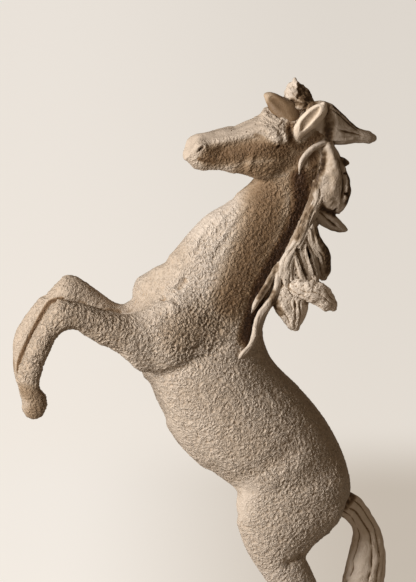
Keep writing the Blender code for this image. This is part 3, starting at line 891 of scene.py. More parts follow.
    strokes: dict[str, Stroke] = field(default_factory=lambda: {
        "nose_bridge": Stroke(((199, 135), (212, 133), (226, 130.5),
                               (240, 126)), 6 * MM, 0.7 * MM, both=False),
        "nose_edge": Stroke(((207, 145), (225, 140), (240, 136), (255, 131),
                             (270, 126)), 3.6 * MM, 1.3 * MM),
        "cheek_hollow": Stroke(((210, 153), (228, 149), (246, 144), (264, 139)), 5 * MM, -1.5 * MM),
        "nostril_rim": Stroke(((196, 152), (199, 146.5), (204, 145), (206, 149)), 1.2 * MM, 1.0 * MM),
        "nostril": Stroke(((198.5, 151.5), (201, 149), (203.5, 147.5)), 0.9 * MM, -2.6 * MM),
        "mouth": Stroke(((194, 160), (204, 163), (217, 162.5)), 1.5 * MM, -0.5 * MM),
        "jaw_ridge": Stroke(((254, 151), (252, 159), (249, 168), (247, 174)), 2.2 * MM, 0.7 * MM),
        "jaw_hollow": Stroke(((247, 152), (245, 160), (241, 168)), 3 * MM, -0.6 * MM),
        "brow": Stroke(((262, 127), (270, 129), (276, 131)), 2.4 * MM, 0.8 * MM),
        "eye_mound": Stroke(((275, 136), (278, 143)), 4.8 * MM, 0.6 * MM),
        "upper_lid": Stroke(((266, 131), (272, 132.5), (279, 133)), 2.4 * MM, 0.9 * MM),
        "eye_pit": Stroke(((277, 147), (280.5, 146.5)), 1.4 * MM, -2.2 * MM),
        "temple_ridge": Stroke(((281, 130), (285, 136), (285.5, 144)), 2.2 * MM, 1.4 * MM),
        "temple": Stroke(((290, 126), (290.5, 134), (290, 142)), 2.0 * MM, -2.4 * MM),
        "forehead_pit": Stroke(((277, 115), (280, 117)), 1.1 * MM, -1.2 * MM),
        "forehead_ridge": Stroke(((276, 127), (279, 123), (283, 120)), 1.3 * MM, 0.7 * MM),
        "jugular": Stroke(((200, 250), (215, 235), (230, 219), (246, 203)), 4.5 * MM, -0.6 * MM),
        "throat_cord": Stroke(((196, 240), (212, 225), (228, 211)), 5.0 * MM, 0.4 * MM),
        "shoulder_point": Stroke(((168, 302), (173, 308), (179, 314)), 4 * MM, 1.1 * MM, both=False),
        "shoulder_notch": Stroke(((188, 278), (182, 284), (176, 290)), 3.4 * MM, -1.5 * MM, both=False),
        "shoulder_dimple": Stroke(((166, 296), (161, 301)), 3.2 * MM, -1.2 * MM, both=False),
        "neck_groove_1": Stroke(((243, 194), (224, 212), (206, 235), (193, 258)), 2.2 * MM, -0.6 * MM),
        "neck_groove_2": Stroke(((256, 202), (240, 220), (225, 241), (212, 262)), 2.4 * MM, -0.7 * MM),
        "poll_hollow": Stroke(((272, 111), (282, 110), (292, 108)), 7 * MM, -2.4 * MM, both=False),
        "forehead": Stroke(((256, 118), (262, 114), (268, 112)), 5 * MM, 0.5 * MM),
        "elbow_crease": Stroke(((150, 376), (170, 372), (190, 365), (212, 352),
                                (230, 340)), 5.0 * MM, -0.9 * MM),
        "flank_crease": Stroke(((222, 484), (244, 479), (266, 470), (288, 455),
                                (304, 440)), 11.0 * MM, -1.0 * MM),
        "thigh_top": Stroke(((240, 494), (262, 485), (290, 468), (314, 450)), 12.0 * MM, 0.7 * MM),
        "gaskin_notch": Stroke(((284, 566), (295, 561), (306, 553)), 4.0 * MM, -1.2 * MM),
    })

    def base(self) -> bpy.types.Mesh:
        """The castings fused into one smooth skin, with the eyes filling their sockets."""
        bm = bmesh.new()
        for name in self.castings + self.plugs:
            part = evaluated(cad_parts[name].data, ("WELD", {"merge_threshold": self.merge}),
                             ("DISPLACE", {"strength": self.seal, "mid_level": 0.0}))
            bm.from_mesh(part)
            bpy.data.meshes.remove(part)
        fused = evaluated(mesh_from(bm, "castings"), ("REMESH", {"mode": "VOXEL", "voxel_size": self.cell}))
        clay = Clay(fused)
        clay.relax(self.relaxing)
        tree = clay.tree()
        for patch in self.levels.values():
            clay.soften(spread(clay, tree, patch), int(patch.amount))
        for nudge in self.nudges.values():
            nudge.apply(clay)
        clay.relax(self.settling)
        tree = clay.tree()
        for patch in self.rounding.values():
            clay.soften(spread(clay, tree, patch), int(patch.amount))
        return evaluated(clay.write(), ("SUBSURF", {"levels": 1, "render_levels": 1}))

    def finer_head(self, mesh: bpy.types.Mesh) -> bpy.types.Mesh:
        """Gives the head twice the points, for the small forms of the face.

        Args:
            mesh: The skin.

        Returns:
            The skin with finer faces on the head.
        """
        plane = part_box("head")[0].z + self.face_above
        bm = bmesh.new()
        bm.from_mesh(mesh)
        edges = [edge for edge in bm.edges
                 if all(vert.co.z > plane and vert.co.x < self.face_before for vert in edge.verts)]
        bmesh.ops.subdivide_edges(bm, edges=edges, cuts=1, use_grid_fill=True, smooth=0.6)
        return mesh_from(bm, "skin")

    def model(self, clay: Clay) -> BVHTree:
        """Runs every stroke over the skin, on both sides where the form is on both.

        Args:
            clay: The skin.

        Returns:
            The skin's faces as they were before the strokes.
        """
        tree = clay.tree()
        outward = clay.normals()
        for stroke in self.strokes.values():
            for path in drawn(tree, stroke.path, stroke.both):
                clay.stroke(path, stroke.radius, stroke.height, stroke.tool, outward)
        return tree

    def roughen(self, clay: Clay, tree: BVHTree, parting: Parting) -> None:
        """Stipples the skin and paints the glaze in its hollows, with painted shade there and in the drawn
        bands.

        Args:
            clay: The skin.
            tree: Its faces, which the patches are drawn on.
            parting: The castings, which give the skin its roughness and tint.
        """
        rough = clay.blurred(parting.table(clay.points, self.roughness), self.roughness_blend)
        tint_and_painted_shade = clay.blurred(parting.table(clay.points, self.tint), self.tint_blend)
        for patch in self.calm.values():
            rough *= 1 + (patch.amount - 1) * spread(clay, tree, patch)
        # Painted shade in bands where shade falls, over each casting's tint.
        for patch in self.painted_shade.values():
            tint_and_painted_shade = np.maximum(tint_and_painted_shade, patch.amount * spread(clay, tree, patch))
        # The painted shade is thinned where shade removed is drawn.
        for patch in self.shade_removed.values():
            tint_and_painted_shade *= 1 - patch.amount * spread(clay, tree, patch)
        # Glaze and painted shade in the hollows.
        glaze_and_shade = self.wide.over(clay)
        heights = np.array([self.stipple.height(point) for point in clay.points])
        clay.lift(heights * rough * self.stipple.depth)
        glaze_and_shade += self.fine.over(clay)
        clay.paint("glaze_and_shade", np.clip(glaze_and_shade + tint_and_painted_shade, 0, self.glaze_and_shade_limit))
        clay.paint("rough", rough)

    def build(self, material: bpy.types.Material) -> None:
        """Makes the skin and parts it along the castings."""
        parting = Parting({name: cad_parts[name].data for name in self.castings})
        clay = Clay(self.finer_head(self.base()))
        self.roughen(clay, self.model(clay), parting)
        clay.points[:, 2] = np.maximum(clay.points[:, 2], 0)
        for name, ending, mesh in parting.parts(clay.write(), self.halves):
            add_piece(f"{name}_coat{ending}", mesh, material, Slot.ROUGH, name)


@dataclass(frozen=True)
class Lock:
    """A lock of hair drawn on the photograph from its root to its tip.

    A row is (left x, left y, right x, right y) in pixels, then the depth Y and the half thickness in
    millimetres.
    """

    node: str
    rows: tuple[tuple[float, ...], ...]
    strands: int = 4
    relief: float = 0.7 * MM
    pits: float = 0.0
    wander: float = 0.7
    lumps: float = 0.25 * MM
    comb: float = 0.3
    part: str = ""
    bend: float = 11 * MM
    fade: float = 8 * MM
    tooth: float = 9 * MM
    lump_size: float = 3.5 * MM
    pit_size: float = 1.1 * MM

    def stations(self) -> tuple[np.ndarray, np.ndarray, np.ndarray]:
        """Middles, half widths and half thicknesses along the lock."""
        rows = smooth_rows(self.rows, 8)
        left = np.array([VIEW.at(r[0], r[1], r[4] * MM) for r in rows])
        right = np.array([VIEW.at(r[2], r[3], r[4] * MM) for r in rows])
        through = np.outer(np.maximum(rows[:, 5], 0.3) * MM, np.array(VIEW.back))
        return (left + right) / 2, (right - left) / 2, through

    def shape(self) -> bpy.types.Mesh:
        """The lock as one plain body."""
        bm = bmesh.new()
        tube(bm, *self.stations())
        return mesh_from(bm, self.node)

    def modelling(self, points: np.ndarray) -> np.ndarray:
        """How far the strands, lumps and pits raise points on the lock.

        Args:
            points: Points on the lock's own part of the mass.

        Returns:
            A height for each point, in metres.
        """
        middle, *axes = self.stations()
        share, foot, _ = footing(middle, points)
        rings = np.arange(len(middle))
        spots = []
        for rows in axes:
            axis = np.column_stack([np.interp(share * rings[-1], rings, column) for column in rows.T])
            spots.append(np.einsum("ij,ij->i", points - foot, axis) / np.einsum("ij,ij->i", axis, axis))
        across = np.arctan2(*spots) * self.strands / np.pi
        down = share * np.linalg.norm(np.diff(middle, axis=0), axis=1).sum()
        seed = 3.7 * len(self.node) + self.rows[0][0]
        heights = []
        for point, w, t in zip(points.tolist(), across, down):
            place = Vector(point)
            w += self.wander * noise.noise(Vector((0.45 * w, t / self.bend, seed)))
            deep = 0.55 + 0.9 * noise.noise(Vector((round(w), t / self.fade, seed + 5)))
            line = max(deep, 0.1) * (1 - abs(math.sin(math.pi * w)) ** 0.5)
            comb = max(0.0, 1 - 3 * abs(noise.noise(Vector((2.6 * w, t / self.tooth, seed + 9)))))
            lump = self.lumps * noise.noise(place / self.lump_size)
            pit = self.pits * max(noise.noise(place / self.pit_size), 0)
            heights.append(lump - self.relief * (line + self.comb * comb) - pit)
        return np.array(heights)


@dataclass(frozen=True)
class Knot:
    """Hair bunched into lumps: rows of a pixel, a depth Y and a radius in millimetres, in chains."""

    node: str
    chains: tuple[tuple[tuple[float, ...], ...], ...]
    crags: float = 1.1 * MM
    pits: float = 0.4 * MM
    part: str = ""
    crag_size: float = 3.6 * MM
    pit_size: float = 1.0 * MM

    def shape(self) -> bpy.types.Mesh:
        """The lumps along each chain."""
        bm = bmesh.new()
        for chain in self.chains:
            for x, y, depth, radius in smooth_rows(chain, 5):
                place = Matrix.Translation(VIEW.at(x, y, depth * MM))
                bmesh.ops.create_icosphere(bm, subdivisions=3, radius=radius * MM, matrix=place)
        return mesh_from(bm, self.node)

    def modelling(self, points: np.ndarray) -> np.ndarray:
        """How far the crags and pits raise points on the knot."""
        heights = []
        for point in map(Vector, points):
            crag = self.crags * (0.3 - abs(noise.noise(point / self.crag_size))) * 1.4
            heights.append(crag - self.pits * max(noise.noise(point / self.pit_size), 0))
        return np.array(heights)


@dataclass(frozen=True)
class Hair:
    """Locks pressed together into one mass, modelled, glazed with painted shade and parted again."""

    bodies: tuple[Lock | Knot, ...]
    strokes: dict[str, Stroke]
    painted_shade: dict[str, Patch]
    cell: float = 0.32 * MM
    smoothing: int = 18
    # Glaze and painted shade in the hollows, fine and wide.
    fine: HollowGlazeAndShade = HollowGlazeAndShade(0.5, 8, 0.01 * MM, 0.14 * MM)
    wide: HollowGlazeAndShade = HollowGlazeAndShade(0.8, 70, 0.05 * MM, 0.9 * MM)
    glaze_and_shade_limit: float = 1.3
    rough: float = 0.3
    painted_light: tuple[str, ...] = ()

    def build(self, modelled: bpy.types.Material, painted_light: bpy.types.Material) -> None:
        """Builds the mass and puts each lock's part of it in place.

        Args:
            modelled: The finish of most locks.
            painted_light: A paler copy of the finish that paints light onto the locks listed for it.
        """
        shapes = {body.node + body.part: body.shape() for body in self.bodies}
        parting = Parting(shapes)
        bm = bmesh.new()
        for shape in shapes.values():
            bm.from_mesh(shape)
        mass = evaluated(mesh_from(bm, "hair"), ("REMESH", {"mode": "VOXEL", "voxel_size": self.cell}),
                         ("SMOOTH", {"factor": 0.5, "iterations": self.smoothing}))
        clay = Clay(mass)
        tree, outward = clay.tree(), clay.normals()
        owners, heights = parting.owners(clay.points), np.zeros(clay.count)
        for index, body in enumerate(self.bodies):
            heights[owners == index] = body.modelling(clay.points[owners == index])
        for stroke in self.strokes.values():
            for path in drawn(tree, stroke.path, False):
                clay.stroke(path, stroke.radius, stroke.height, stroke.tool, outward)
        clay.lift(clay.blurred(heights, 1))
        clay.points[:, 2] = np.maximum(clay.points[:, 2], 0)
        # Glaze and painted shade in the hollows, then drawn bands of painted shade, laid on unevenly.
        glaze_and_shade = self.fine.over(clay) + self.wide.over(clay)
        brush = np.clip(blotches(clay.points), 0.35, 1.4)
        for patch in self.painted_shade.values():
            glaze_and_shade = np.maximum(glaze_and_shade, patch.amount * brush * spread(clay, tree, patch))
        clay.paint("glaze_and_shade", np.clip(glaze_and_shade, 0, self.glaze_and_shade_limit))
        clay.paint("rough", np.full(clay.count, self.rough))
        for body, (name, _, mesh) in zip(self.bodies, parting.parts(clay.write(), {})):
            finish = painted_light if name in self.painted_light else modelled
            add_piece(f"{name}_hair", mesh, finish, Slot.SMOOTH, body.node)


MANE = Hair(
    bodies=(
        Lock("poll_lock", ((312, 101, 316, 138, -3.5, 4.5), (322, 100, 325, 141, -3, 5.5),
                           (333, 104.4, 334, 144.5, -2.5, 5.5), (343, 113.5, 343, 145, -1.5, 5),
                           (351, 121.5, 350, 144.2, -0.5, 4.2), (358, 127.4, 357, 143, 0.5, 3.6),
                           (365, 129.6, 364, 143.6, 1.2, 3.5), (370, 131, 369.5, 144.2, 1.8, 3.3),
                           (373.5, 133.5, 373, 142.5, 2.2, 2.4)), 3, 0.35 * MM),
        Lock("cheek_lock", ((324.8, 139.8, 327.5, 145, -6, 2.4), (312, 145, 316, 150, -7.5, 2.6),
                            (304.4, 151.8, 309.4, 156.2, -8.2, 2.6), (298.8, 161.6, 304, 163.4, -9.2, 2.3),
                            (298.2, 173.6, 299.8, 174.4, -10, 1)), 1, 0.2 * MM),
        Lock("front_lock", ((311, 182, 326, 186, -8.6, 3.6), (309.5, 194, 326, 199, -9.4, 4.2),
                            (306.5, 205, 321, 212, -10.4, 4),
                            (302.5, 216, 314, 222, -11.6, 3.6), (296.5, 230, 309, 237, -12.4, 3.8),
                            (289, 244.5, 302, 252, -13, 3.8), (281, 257, 298, 266, -13.8, 3.8),
                            (277.5, 269, 298, 279, -14.2, 3.6), (279, 281, 298, 290, -14, 3.2),
                            (284, 292, 296, 297, -13.2, 2)), 5, 1.0 * MM),
        Lock("shoulder_strand", ((276, 264, 284, 266, -12.5, 2.4), (274, 282, 282, 285, -14.2, 2.6),
                                 (269, 296, 277, 300, -15.2, 2.6), (258, 311, 266, 315, -16.4, 2.5),
                                 (253, 323, 259.5, 324.5, -18, 2.3), (251.5, 334, 258, 335, -19.8, 2.3),
                                 (247.5, 344, 254, 346, -21.6, 2.1), (240, 353, 245, 356.5, -23, 1.6),
                                 (237.5, 359, 239.5, 360, -23.4, 0.8)), 2, 0.5 * MM),
        Lock("short_strand", ((274, 264, 279, 268, -12, 2.2), (265, 282, 271, 286, -14.5, 2.3),
                              (258, 293, 264, 297, -15.5, 2.3), (252.5, 304, 257, 307, -16.4, 1.8),
                              (250.5, 312, 252.5, 313.5, -17, 0.8)), 2, 0.4 * MM),
        Lock("upper_crest_lock", ((322, 145, 335, 146, -4.5, 4.5), (319, 157, 341.5, 158, -5.5, 5.5),
                                  (317, 168, 346.5, 168, -6.5, 5.8), (313, 180, 350, 180, -7.5, 5.8),
                                  (310, 192, 351, 191, -8, 5.6), (310, 202, 348.5, 202, -8, 5),
                                  (321, 209, 344, 210, -7, 3.6), (332, 212, 340, 213, -6, 2)),
             2, 0.3 * MM, wander=1.2, lumps=0.5 * MM),
        Lock("crest_spike", ((310, 204, 322, 206, -6.5, 3.5), (316, 221, 330, 210, -6, 4.2),
                             (326, 228.5, 338, 217, -4.5, 3.6),
                             (336, 232, 344, 223.5, -3, 2.8),
                             (343, 232.5, 347.5, 228, -2, 1.8)), 2, 0.4 * MM),
        Lock("middle_lock", ((303, 206, 315, 209, -8, 3.2), (299, 222, 317.5, 226, -10, 4.8),
                             (303, 240, 322.5, 239, -10.8, 5.2),
                             (308, 253, 330, 251, -10, 5), (312, 264, 331.5, 262, -8.8, 4.6),
                             (315.5, 273, 331, 271.5, -7.8, 3.6),
                             (318.5, 277.5, 328, 277, -7.2, 2.4)), 5, 1.0 * MM),
        Lock("lower_lock", ((292, 270, 282, 290, -13, 3.2), (303, 275.5, 291, 297.5, -14.2, 4.6),
                            (316, 280.5, 305, 301.5, -14.8, 5.2),
                            (327.5, 286, 317.5, 306.5, -14.4, 4.8), (334, 293.5, 325, 312, -13.4, 3.8),
                            (336.5, 301, 331, 311.5, -12.6, 2.6)), 4, 0.7 * MM, 0.4 * MM, 1.2, 0.6 * MM),
        Lock("lower_lock", ((297, 234, 309, 236, -10, 3), (291, 248, 317, 248, -11.2, 3.8),
                            (291, 264, 319, 263, -12.4, 4),
                            (294, 278, 320, 276, -13, 4),
                            (299, 289, 317, 287, -13, 3.2)), 4, 0.8 * MM, part="_bed"),
        Lock("lower_lock", ((297, 238, 303, 238, -11, 2.2), (293, 248, 301, 246.5, -12.6, 2.8),
                            (292.5, 259, 301, 257, -14, 3),
                            (295, 270, 304, 267, -14.8, 3), (298.5, 281, 308, 278, -15.2, 2.8)),
             3, 0.7 * MM, 0.3 * MM, 1.0, part="_ridge"),
        Lock("lower_lock", ((299, 232, 308, 231, -11.2, 2.8), (301, 246, 310, 243.5, -12.2, 3.2),
                            (303.5, 258, 312.5, 255, -13.2, 3.2),
                            (307.5, 270, 316.5, 266, -14, 3.2), (311.5, 282, 319.5, 279, -14.4, 2.8)),
             3, 0.7 * MM, 0.3 * MM, 1.0, part="_ridge_2"),
        Lock("back_lock", ((283, 262, 298, 267, -10.5, 3), (279, 277, 306, 281, -11.5, 4.4),
                           (272, 291, 309, 296, -12.2, 5.4),
                           (271, 302, 309, 305, -12.4, 5.6), (275.5, 312.5, 306.5, 315, -12.4, 5),
                           (281, 320, 304, 322, -12.3, 4.4),
                           (286, 325, 300.5, 326, -12.2, 3.4)), 4, 1.0 * MM, 0.3 * MM, 1.3, 0.5 * MM),
        Knot("upper_crest_lock", (((342, 161.5, -5.5, 2.2), (345.5, 162.5, -5, 1.7),
                                   (347.6, 163.2, -5, 1.2)),),
             0.4 * MM, 0.1 * MM, "_nub"),
        Knot("forelock", (
            ((295, 79.6, 5, 1.2), (295, 83.5, 5, 2.0), (294, 90, 5, 3.9), (292, 96, 5, 4.2)),
            ((294, 90, 5, 3.8), (300, 90, 6, 2.9), (303, 95, 6, 3.6), (307, 102, 4, 3.6)),
            ((291, 96, 5, 3.4), (298, 100, 3, 4.0), (304, 106, 1, 4.2)),
            ((301, 106, -3, 2.0), (303, 107, -3, 2.0)),
            ((298, 107, -1, 2.6), (293, 112, -2.4, 2.4), (288, 116, -4, 2.2), (284, 119, -4.6, 1.8)))),
    ),
    strokes={
        "ear_recess": Stroke(((328, 110), (331, 120), (330, 134)), 4.5 * MM, -2.4 * MM),
        "rope": Stroke(((326, 106), (338, 113), (350, 124), (361, 133)), 1.0 * MM, -0.9 * MM, Tool.SCORE),
        "poll_line": Stroke(((337, 128), (346, 132), (356, 134), (364, 136)), 1.6 * MM, -0.6 * MM),
        "poll_ridge": Stroke(((334, 139), (346, 140), (357, 138)), 1.8 * MM, 0.7 * MM),
        **{f"twist_{place}": Stroke(path, 0.8 * MM, -0.9 * MM, Tool.SCORE) for place, path in enumerate((
            ((333, 104.5), (336, 109)), ((340, 110), (342, 115)), ((346, 116), (348, 120)),
            ((352, 122), (353, 126))), 1)},
        "crest_hollow": Stroke(((322, 151), (326, 162), (321, 176)), 4.5 * MM, -2.0 * MM),
        "crest_pit_1": Stroke(((323, 158), (325, 161)), 1.2 * MM, -1.6 * MM),
        "crest_pit_2": Stroke(((319, 170), (321, 173)), 1.2 * MM, -1.6 * MM),
        "crest_fold": Stroke(((337, 152), (342, 166), (345, 184), (342, 204)), 2.0 * MM, -1.8 * MM),
        "crest_swell": Stroke(((331, 156), (336, 170), (335, 186), (328, 200)), 4 * MM, 0.9 * MM),
        "crest_notch_1": Stroke(((350, 172), (344, 174)), 1.2 * MM, -1.4 * MM),
        "crest_notch_2": Stroke(((351, 195), (344, 194)), 1.2 * MM, -1.4 * MM),
        "crest_notch_3": Stroke(((337, 208), (334, 213)), 1.2 * MM, -1.6 * MM),
        "spike": Stroke(((318, 210), (328, 220), (340, 229)), 1.2 * MM, -0.8 * MM),
        "groove_1": Stroke(((298, 246), (300, 258), (305, 274)), 1.3 * MM, -1.6 * MM),
        "groove_2": Stroke(((308, 248), (312, 260), (317, 276)), 1.3 * MM, -1.6 * MM),
        "back_1": Stroke(((295, 300), (296, 310), (296, 322)), 1.2 * MM, -1.0 * MM, Tool.SCORE),
        "knot_cleft": Stroke(((299, 85), (300, 93), (297, 100)), 1.6 * MM, -2.0 * MM, Tool.SCORE),
        "knot_hole": Stroke(((300, 92), (303, 95)), 1.6 * MM, -2.4 * MM),
    },
    # Painted shade: the forelock's shaded half and root, the recesses by the ear and crest, the shaded edges
    # of the crest lock, spike and middle lock, the grooves and the strands beside the neck.
    painted_shade={
        "forelock": Patch(((302, 88), (308, 97), (312, 104)), 4.5 * MM, 0.75),
        "forelock_root": Patch(((294, 103), (302, 104), (310, 106)), 3 * MM, 0.8),
        "ear_recess": Patch(((327, 108), (330, 120), (328, 138)), 4.2 * MM, 0.9),
        "rope": Patch(((333, 105), (345, 115), (357, 127)), 1.8 * MM, 0.9),
        "crest_edge": Patch(((337, 149), (346, 165), (350, 184), (347, 206)), 2.8 * MM, 1.0),
        "cheek_recess": Patch(((320, 151), (320, 163), (315, 176), (312, 184)), 5 * MM, 0.9),
        "spike": Patch(((322, 208), (335, 214), (346, 226)), 2.6 * MM, 1.1),
        "middle": Patch(((318, 232), (327, 250), (329, 270)), 4.4 * MM, 0.9),
        "back": Patch(((273, 294), (275, 304), (280, 313)), 3.2 * MM, 0.8),
        "groove_1": Patch(((297, 250), (301, 262), (306, 275)), 1.5 * MM, 1.2),
        "groove_2": Patch(((308, 248), (312, 260), (316, 274)), 1.5 * MM, 1.2),
        "crest": Patch(((330, 160), (338, 180), (333, 200)), 8 * MM, 0.16),
        "middle_root": Patch(((309, 210), (303, 222), (297, 236)), 4 * MM, 0.55),
        "strand": Patch(((277, 266), (267, 284), (259, 297)), 2.4 * MM, 0.6),
    },
    # The lower and back locks take the paler copy of the stone: painted light.
    painted_light=("lower_lock", "back_lock"),
)
TAIL = Hair(
    bodies=(
        Lock("tail", ((331, 513, 347, 489, 0, 5), (344, 519, 364, 501, 0, 6), (352, 531, 380, 528, 0, 8),
                      (349, 550, 385, 549, 0, 9), (345, 567, 386, 566, 0, 10),
                      (341, 584, 384, 584, 0, 10.5),
                      (335, 612, 378, 612, 0, 10.5), (333, 641, 373, 641, 0, 10),
                      (336, 672, 372, 672, 0, 9),
                      (343, 700, 374, 702, 0, 8),
                      (347, 726, 377, 728, 0, 7.4)), 4, 2.0 * MM, wander=0.3, comb=0.08),
    ),
    strokes={},
    # Painted shade where the tail meets the body.
    painted_shade={"root": Patch(((342, 508), (348, 500), (352, 495)), 4 * MM, 0.9)},
    cell=0.45 * MM,
    smoothing=8,
    # Glaze and painted shade in the hollows.
    fine=HollowGlazeAndShade(0.6, 8, 0.01 * MM, 0.14 * MM),
    wide=HollowGlazeAndShade(0.2, 70, 0.05 * MM, 0.9 * MM),
    # The tail takes the paler copy of the stone: painted light.
    painted_light=("tail",),
)


@dataclass(frozen=True)
class Ear:
    """An ear: a leaf with a hollow scooped from one face, drawn as the locks are."""

    node: str
    leaf: tuple[tuple[float, ...], ...]
    scoop: tuple[tuple[float, ...], ...]
    # Painted shade over the whole leaf, most on the far ear, whose face is turned from the key light.
    tint_and_painted_shade: float = 0.0
    cell: float = 0.36 * MM
    smoothing: int = 14
    lumps: float = 0.2 * MM
    lump_size: float = 3 * MM
    # Glaze and painted shade in the scoop.
    hollow: HollowGlazeAndShade = HollowGlazeAndShade(1.0, 40, -0.15 * MM, 0.5 * MM)
    glaze_and_shade_limit: float = 1.3
    rough: float = 0.15

    def build(self, material: bpy.types.Material) -> None:
        """Scoops the leaf, rounds its rim and puts it in place.

        Args:
            material: The ear's finish.
        """
        shapes = []
        for rows in (self.leaf, self.scoop):
            bm = bmesh.new()
            tube(bm, *Lock(self.node, rows).stations())
            shapes.append(mesh_from(bm, self.node))
        spoon = bpy.data.objects.new("spoon", shapes[1])
        bpy.context.scene.collection.objects.link(spoon)
        hollow = evaluated(shapes[0], ("BOOLEAN", {"operation": "DIFFERENCE", "object": spoon}),
                           ("REMESH", {"mode": "VOXEL", "voxel_size": self.cell}),
                           ("SMOOTH", {"factor": 0.5, "iterations": self.smoothing}))
        bpy.data.objects.remove(spoon, do_unlink=True)
        clay = Clay(hollow)
        lumps = [noise.noise(point / self.lump_size) for point in map(Vector, clay.points)]
        clay.lift(self.lumps * np.array(lumps))
        brush = np.clip(blotches(clay.points), 0.5, 1.3)
        # Painted shade: brown in the scoop and over the leaf.
        glaze_and_shade = (0.25 - 0.2 * self.tint_and_painted_shade) * self.hollow.over(clay) * brush + self.tint_and_painted_shade
        share = footing(Lock(self.node, self.leaf).stations()[0], clay.points)[0]
        # Painted light: the leaf is kept lighter toward its tip.
        glaze_and_shade *= 1 - 0.6 * smooth_step(share, 0.7, 1.0)
        clay.paint("glaze_and_shade", np.clip(glaze_and_shade, 0, self.glaze_and_shade_limit))
        clay.paint("rough", np.full(clay.count, self.rough))
        add_piece(f"{self.node}_leaf", clay.write(), material, Slot.SMOOTH, self.node)


@dataclass
class Head:
    """What is set into the head: the ears and the eyes."""

    eye_radii: tuple[float, float, float] = (2.7 * MM, 2.8 * MM, 3.7 * MM)
    eye_wash: float = 0.1
    eye_rough: float = 0.3
    ears: tuple[Ear, ...] = (
        Ear("left_ear", ((293, 138, 300, 142.5, -7.8, 2.6), (293.4, 132, 302, 138, -9.2, 3),
                         (294.5, 126, 308.5, 132.5, -10.2, 3.4),
                         (300.5, 116.5, 317, 126, -11.4, 3.8), (309, 108.5, 323.5, 118.5, -12.4, 3.4),
                         (316, 104.5, 327.5, 112, -13.2, 2.8), (320.5, 103.3, 327, 106.5, -13.6, 1.8)),
            ((300.5, 130, 303, 130.5, -12.8, 1.4), (300.5, 123.5, 307.5, 127.5, -14.4, 2.8),
             (305, 115.5, 314.5, 120.5, -16, 3.2), (311.5, 109.8, 319.5, 114, -16.2, 2.6),
             (316, 107.3, 320.5, 109.5, -16, 1.6)), 0.1),
        Ear("right_ear", ((279, 122, 300, 113, -4, 3.6), (271, 113, 296, 104, -0.5, 4),
                          (266.5, 103.5, 286, 97.8, 3, 3.6),
                          (264.4, 97.5, 274, 92.8, 6, 2.3)),
            ((280.5, 120, 298, 111.5, -8.7, 1.5), (274.5, 112, 293, 104.5, -5.2, 1.7),
             (269.5, 103.5, 283, 99.2, -1.2, 1.5),
             (268, 99, 274.5, 96, 2.6, 0.8)), 0.8),
    )

    def build(self, material: bpy.types.Material) -> None:
        """Builds the ears and the eyes.

        Args:
            material: The finish of both, a paler copy of the stone that paints light on them.
        """
        # The ears and eyes take the paler copy of the stone: painted light.
        for ear in self.ears:
            ear.build(material)
        for node in ("left_eye", "right_eye"):
            low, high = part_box(node)
            bm = bmesh.new()
            place = Matrix.Translation((low + high) / 2) @ Matrix.Diagonal((*self.eye_radii, 1))
            bmesh.ops.create_uvsphere(bm, u_segments=32, v_segments=20, radius=1, matrix=place)
            clay = Clay(mesh_from(bm, node))
            clay.paint("glaze_and_shade", np.full(clay.count, self.eye_wash))
            clay.paint("rough", np.full(clay.count, self.eye_rough))
            add_piece(f"{node}_ball", clay.write(), material, Slot.ROUGH, node)


@dataclass(frozen=True)
class Dowels:
    """The rods that pin the castings together: the frame's own nodes, in bare steel."""

    finish: SteelFinish = SteelFinish()
    ending: str = "dowel"

    def build(self) -> None:
        """Gives every dowel its finish."""
        steel = self.finish.material()
        for name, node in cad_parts.items():
            if name.endswith(self.ending):
                node.data.materials.clear()
                node.data.materials.append(steel)
                LOG.info("%s: the frame's own node, in %s", name, self.finish.name)


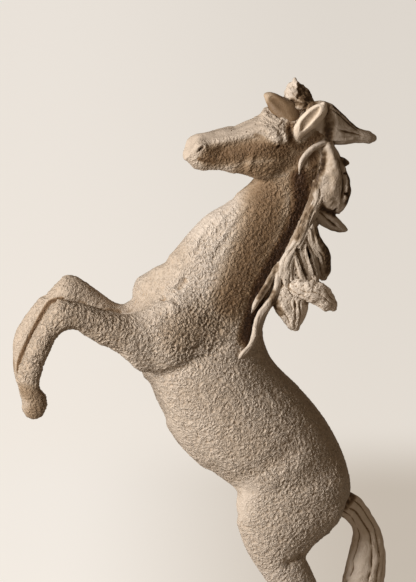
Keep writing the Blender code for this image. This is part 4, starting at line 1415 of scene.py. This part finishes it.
@dataclass
class Studio:
    """A pale floor, a soft key light from the upper left and a low fill."""

    key_way: tuple[float, float, float] = (-0.85, -0.33, 0.41)
    key_power: float = 86.0
    key_size: float = 1.0
    key_distance: float = 2.4
    key_colour: Colour = (1.0, 0.98, 0.95)
    room: Colour = (0.80, 0.75, 0.70)
    fill: Colour = (0.150, 0.114, 0.078)
    floor_colour: Colour = (0.30, 0.26, 0.215)
    # Painted falloff of light: each pair runs from the lit colour on the left to a shaded one on the right.
    wall: tuple[Colour, Colour] = ((0.675, 0.648, 0.612), (0.595, 0.572, 0.538))
    floor: tuple[Colour, Colour] = ((0.672, 0.652, 0.622), (0.365, 0.337, 0.30))
    wall_painted_falloff: tuple[float, float] = (-0.10, 0.10)
    floor_painted_falloff: tuple[float, float] = (-0.08, 0.10)
    floor_end: tuple[float, float] = (0.40, 0.30)
    floor_half: float = 6.0

    def build(self) -> None:
        """Sets up the floor, the key light and the room."""
        scene = bpy.context.scene
        scene.view_settings.view_transform = "Standard"
        self.lay_floor(scene)
        self.hang_key(scene)
        self.paint_room(scene)

    def lay_floor(self, scene: bpy.types.Scene) -> None:
        """Lays a round sheet of paper under the figure.

        Args:
            scene: Where it goes.
        """
        bm = bmesh.new()
        bmesh.ops.create_circle(bm, cap_ends=True, segments=64, radius=self.floor_half)
        floor = bpy.data.objects.new("floor", mesh_from(bm, "floor"))
        floor.data.materials.append(self.floor_finish())
        scene.collection.objects.link(floor)

    def hang_key(self, scene: bpy.types.Scene) -> None:
        """Hangs a soft square light that faces the figure.

        Args:
            scene: Where it goes.
        """
        lamp = bpy.data.lights.new("key", "AREA")
        lamp.energy, lamp.size, lamp.color = self.key_power, self.key_size, self.key_colour
        key = bpy.data.objects.new("key", lamp)
        way = Vector(self.key_way).normalized()
        turn = way.to_track_quat("Z", "Y").to_matrix().to_4x4()
        key.matrix_world = Matrix.Translation(VIEW.aim + way * self.key_distance) @ turn
        scene.collection.objects.link(key)

    def floor_finish(self) -> bpy.types.Material:
        """Matte paper that stays pale to the camera, turns to the wall's colours in the distance and is
        darkened to the right by painted shade.
        """
        g = Graph(bpy.data.materials.new("floor_paper"))
        place = g.add("TexCoord").outputs["Object"]
        away = Vector((-VIEW.back.x, -VIEW.back.y, 0)).normalized()
        across = g.add("VectorMath", {0: place, 1: VIEW.right}, operation="DOT_PRODUCT").outputs["Value"]
        far = g.add("VectorMath", {0: place, 1: away}, operation="DOT_PRODUCT").outputs["Value"]
        wall = g.mixed(g.ramp(across, *self.wall_painted_falloff), *self.wall)
        floor = g.mixed(g.ramp(across, *self.floor_painted_falloff), *self.floor)
        colour = g.mixed(g.ramp(far, *self.floor_end), wall, floor)
        diffuse = g.add("BsdfDiffuse", {"Color": (*self.floor_colour, 1)}).outputs[0]
        seen = g.add("LightPath").outputs["Is Camera Ray"]
        glow = g.add("Emission", {"Color": colour, "Strength": seen}).outputs[0]
        g.add("OutputMaterial", {0: g.add("AddShader", {0: diffuse, 1: glow}).outputs[0]})
        return g.owner

    def paint_room(self, scene: bpy.types.Scene) -> None:
        """Makes the room dim and warm as a light, and pale to the camera.

        Args:
            scene: Where it goes.
        """
        g = Graph(bpy.data.worlds.new("room"))
        seen = g.add("LightPath").outputs["Is Camera Ray"]
        colour = g.mixed(seen, self.fill, self.room)
        g.add("OutputWorld", {0: g.add("Background", {"Color": colour, "Strength": 1.0}).outputs[0]})
        scene.world = g.owner


def main() -> None:
    """Builds the figure and its studio."""
    noise.seed_set(NOISE_SEED)
    logging.basicConfig(level=logging.INFO, format="%(message)s")
    VIEW.add_camera()
    modelled, painted_light = HAIR_FINISH.material(), PAINTED_LIGHT_FINISH.material()
    Coat().build(COAT_FINISH.material())
    Head().build(painted_light)
    MANE.build(modelled, painted_light)
    TAIL.build(modelled, painted_light)
    Dowels().build()
    Studio().build()


if __name__ == "__main__":
    main()
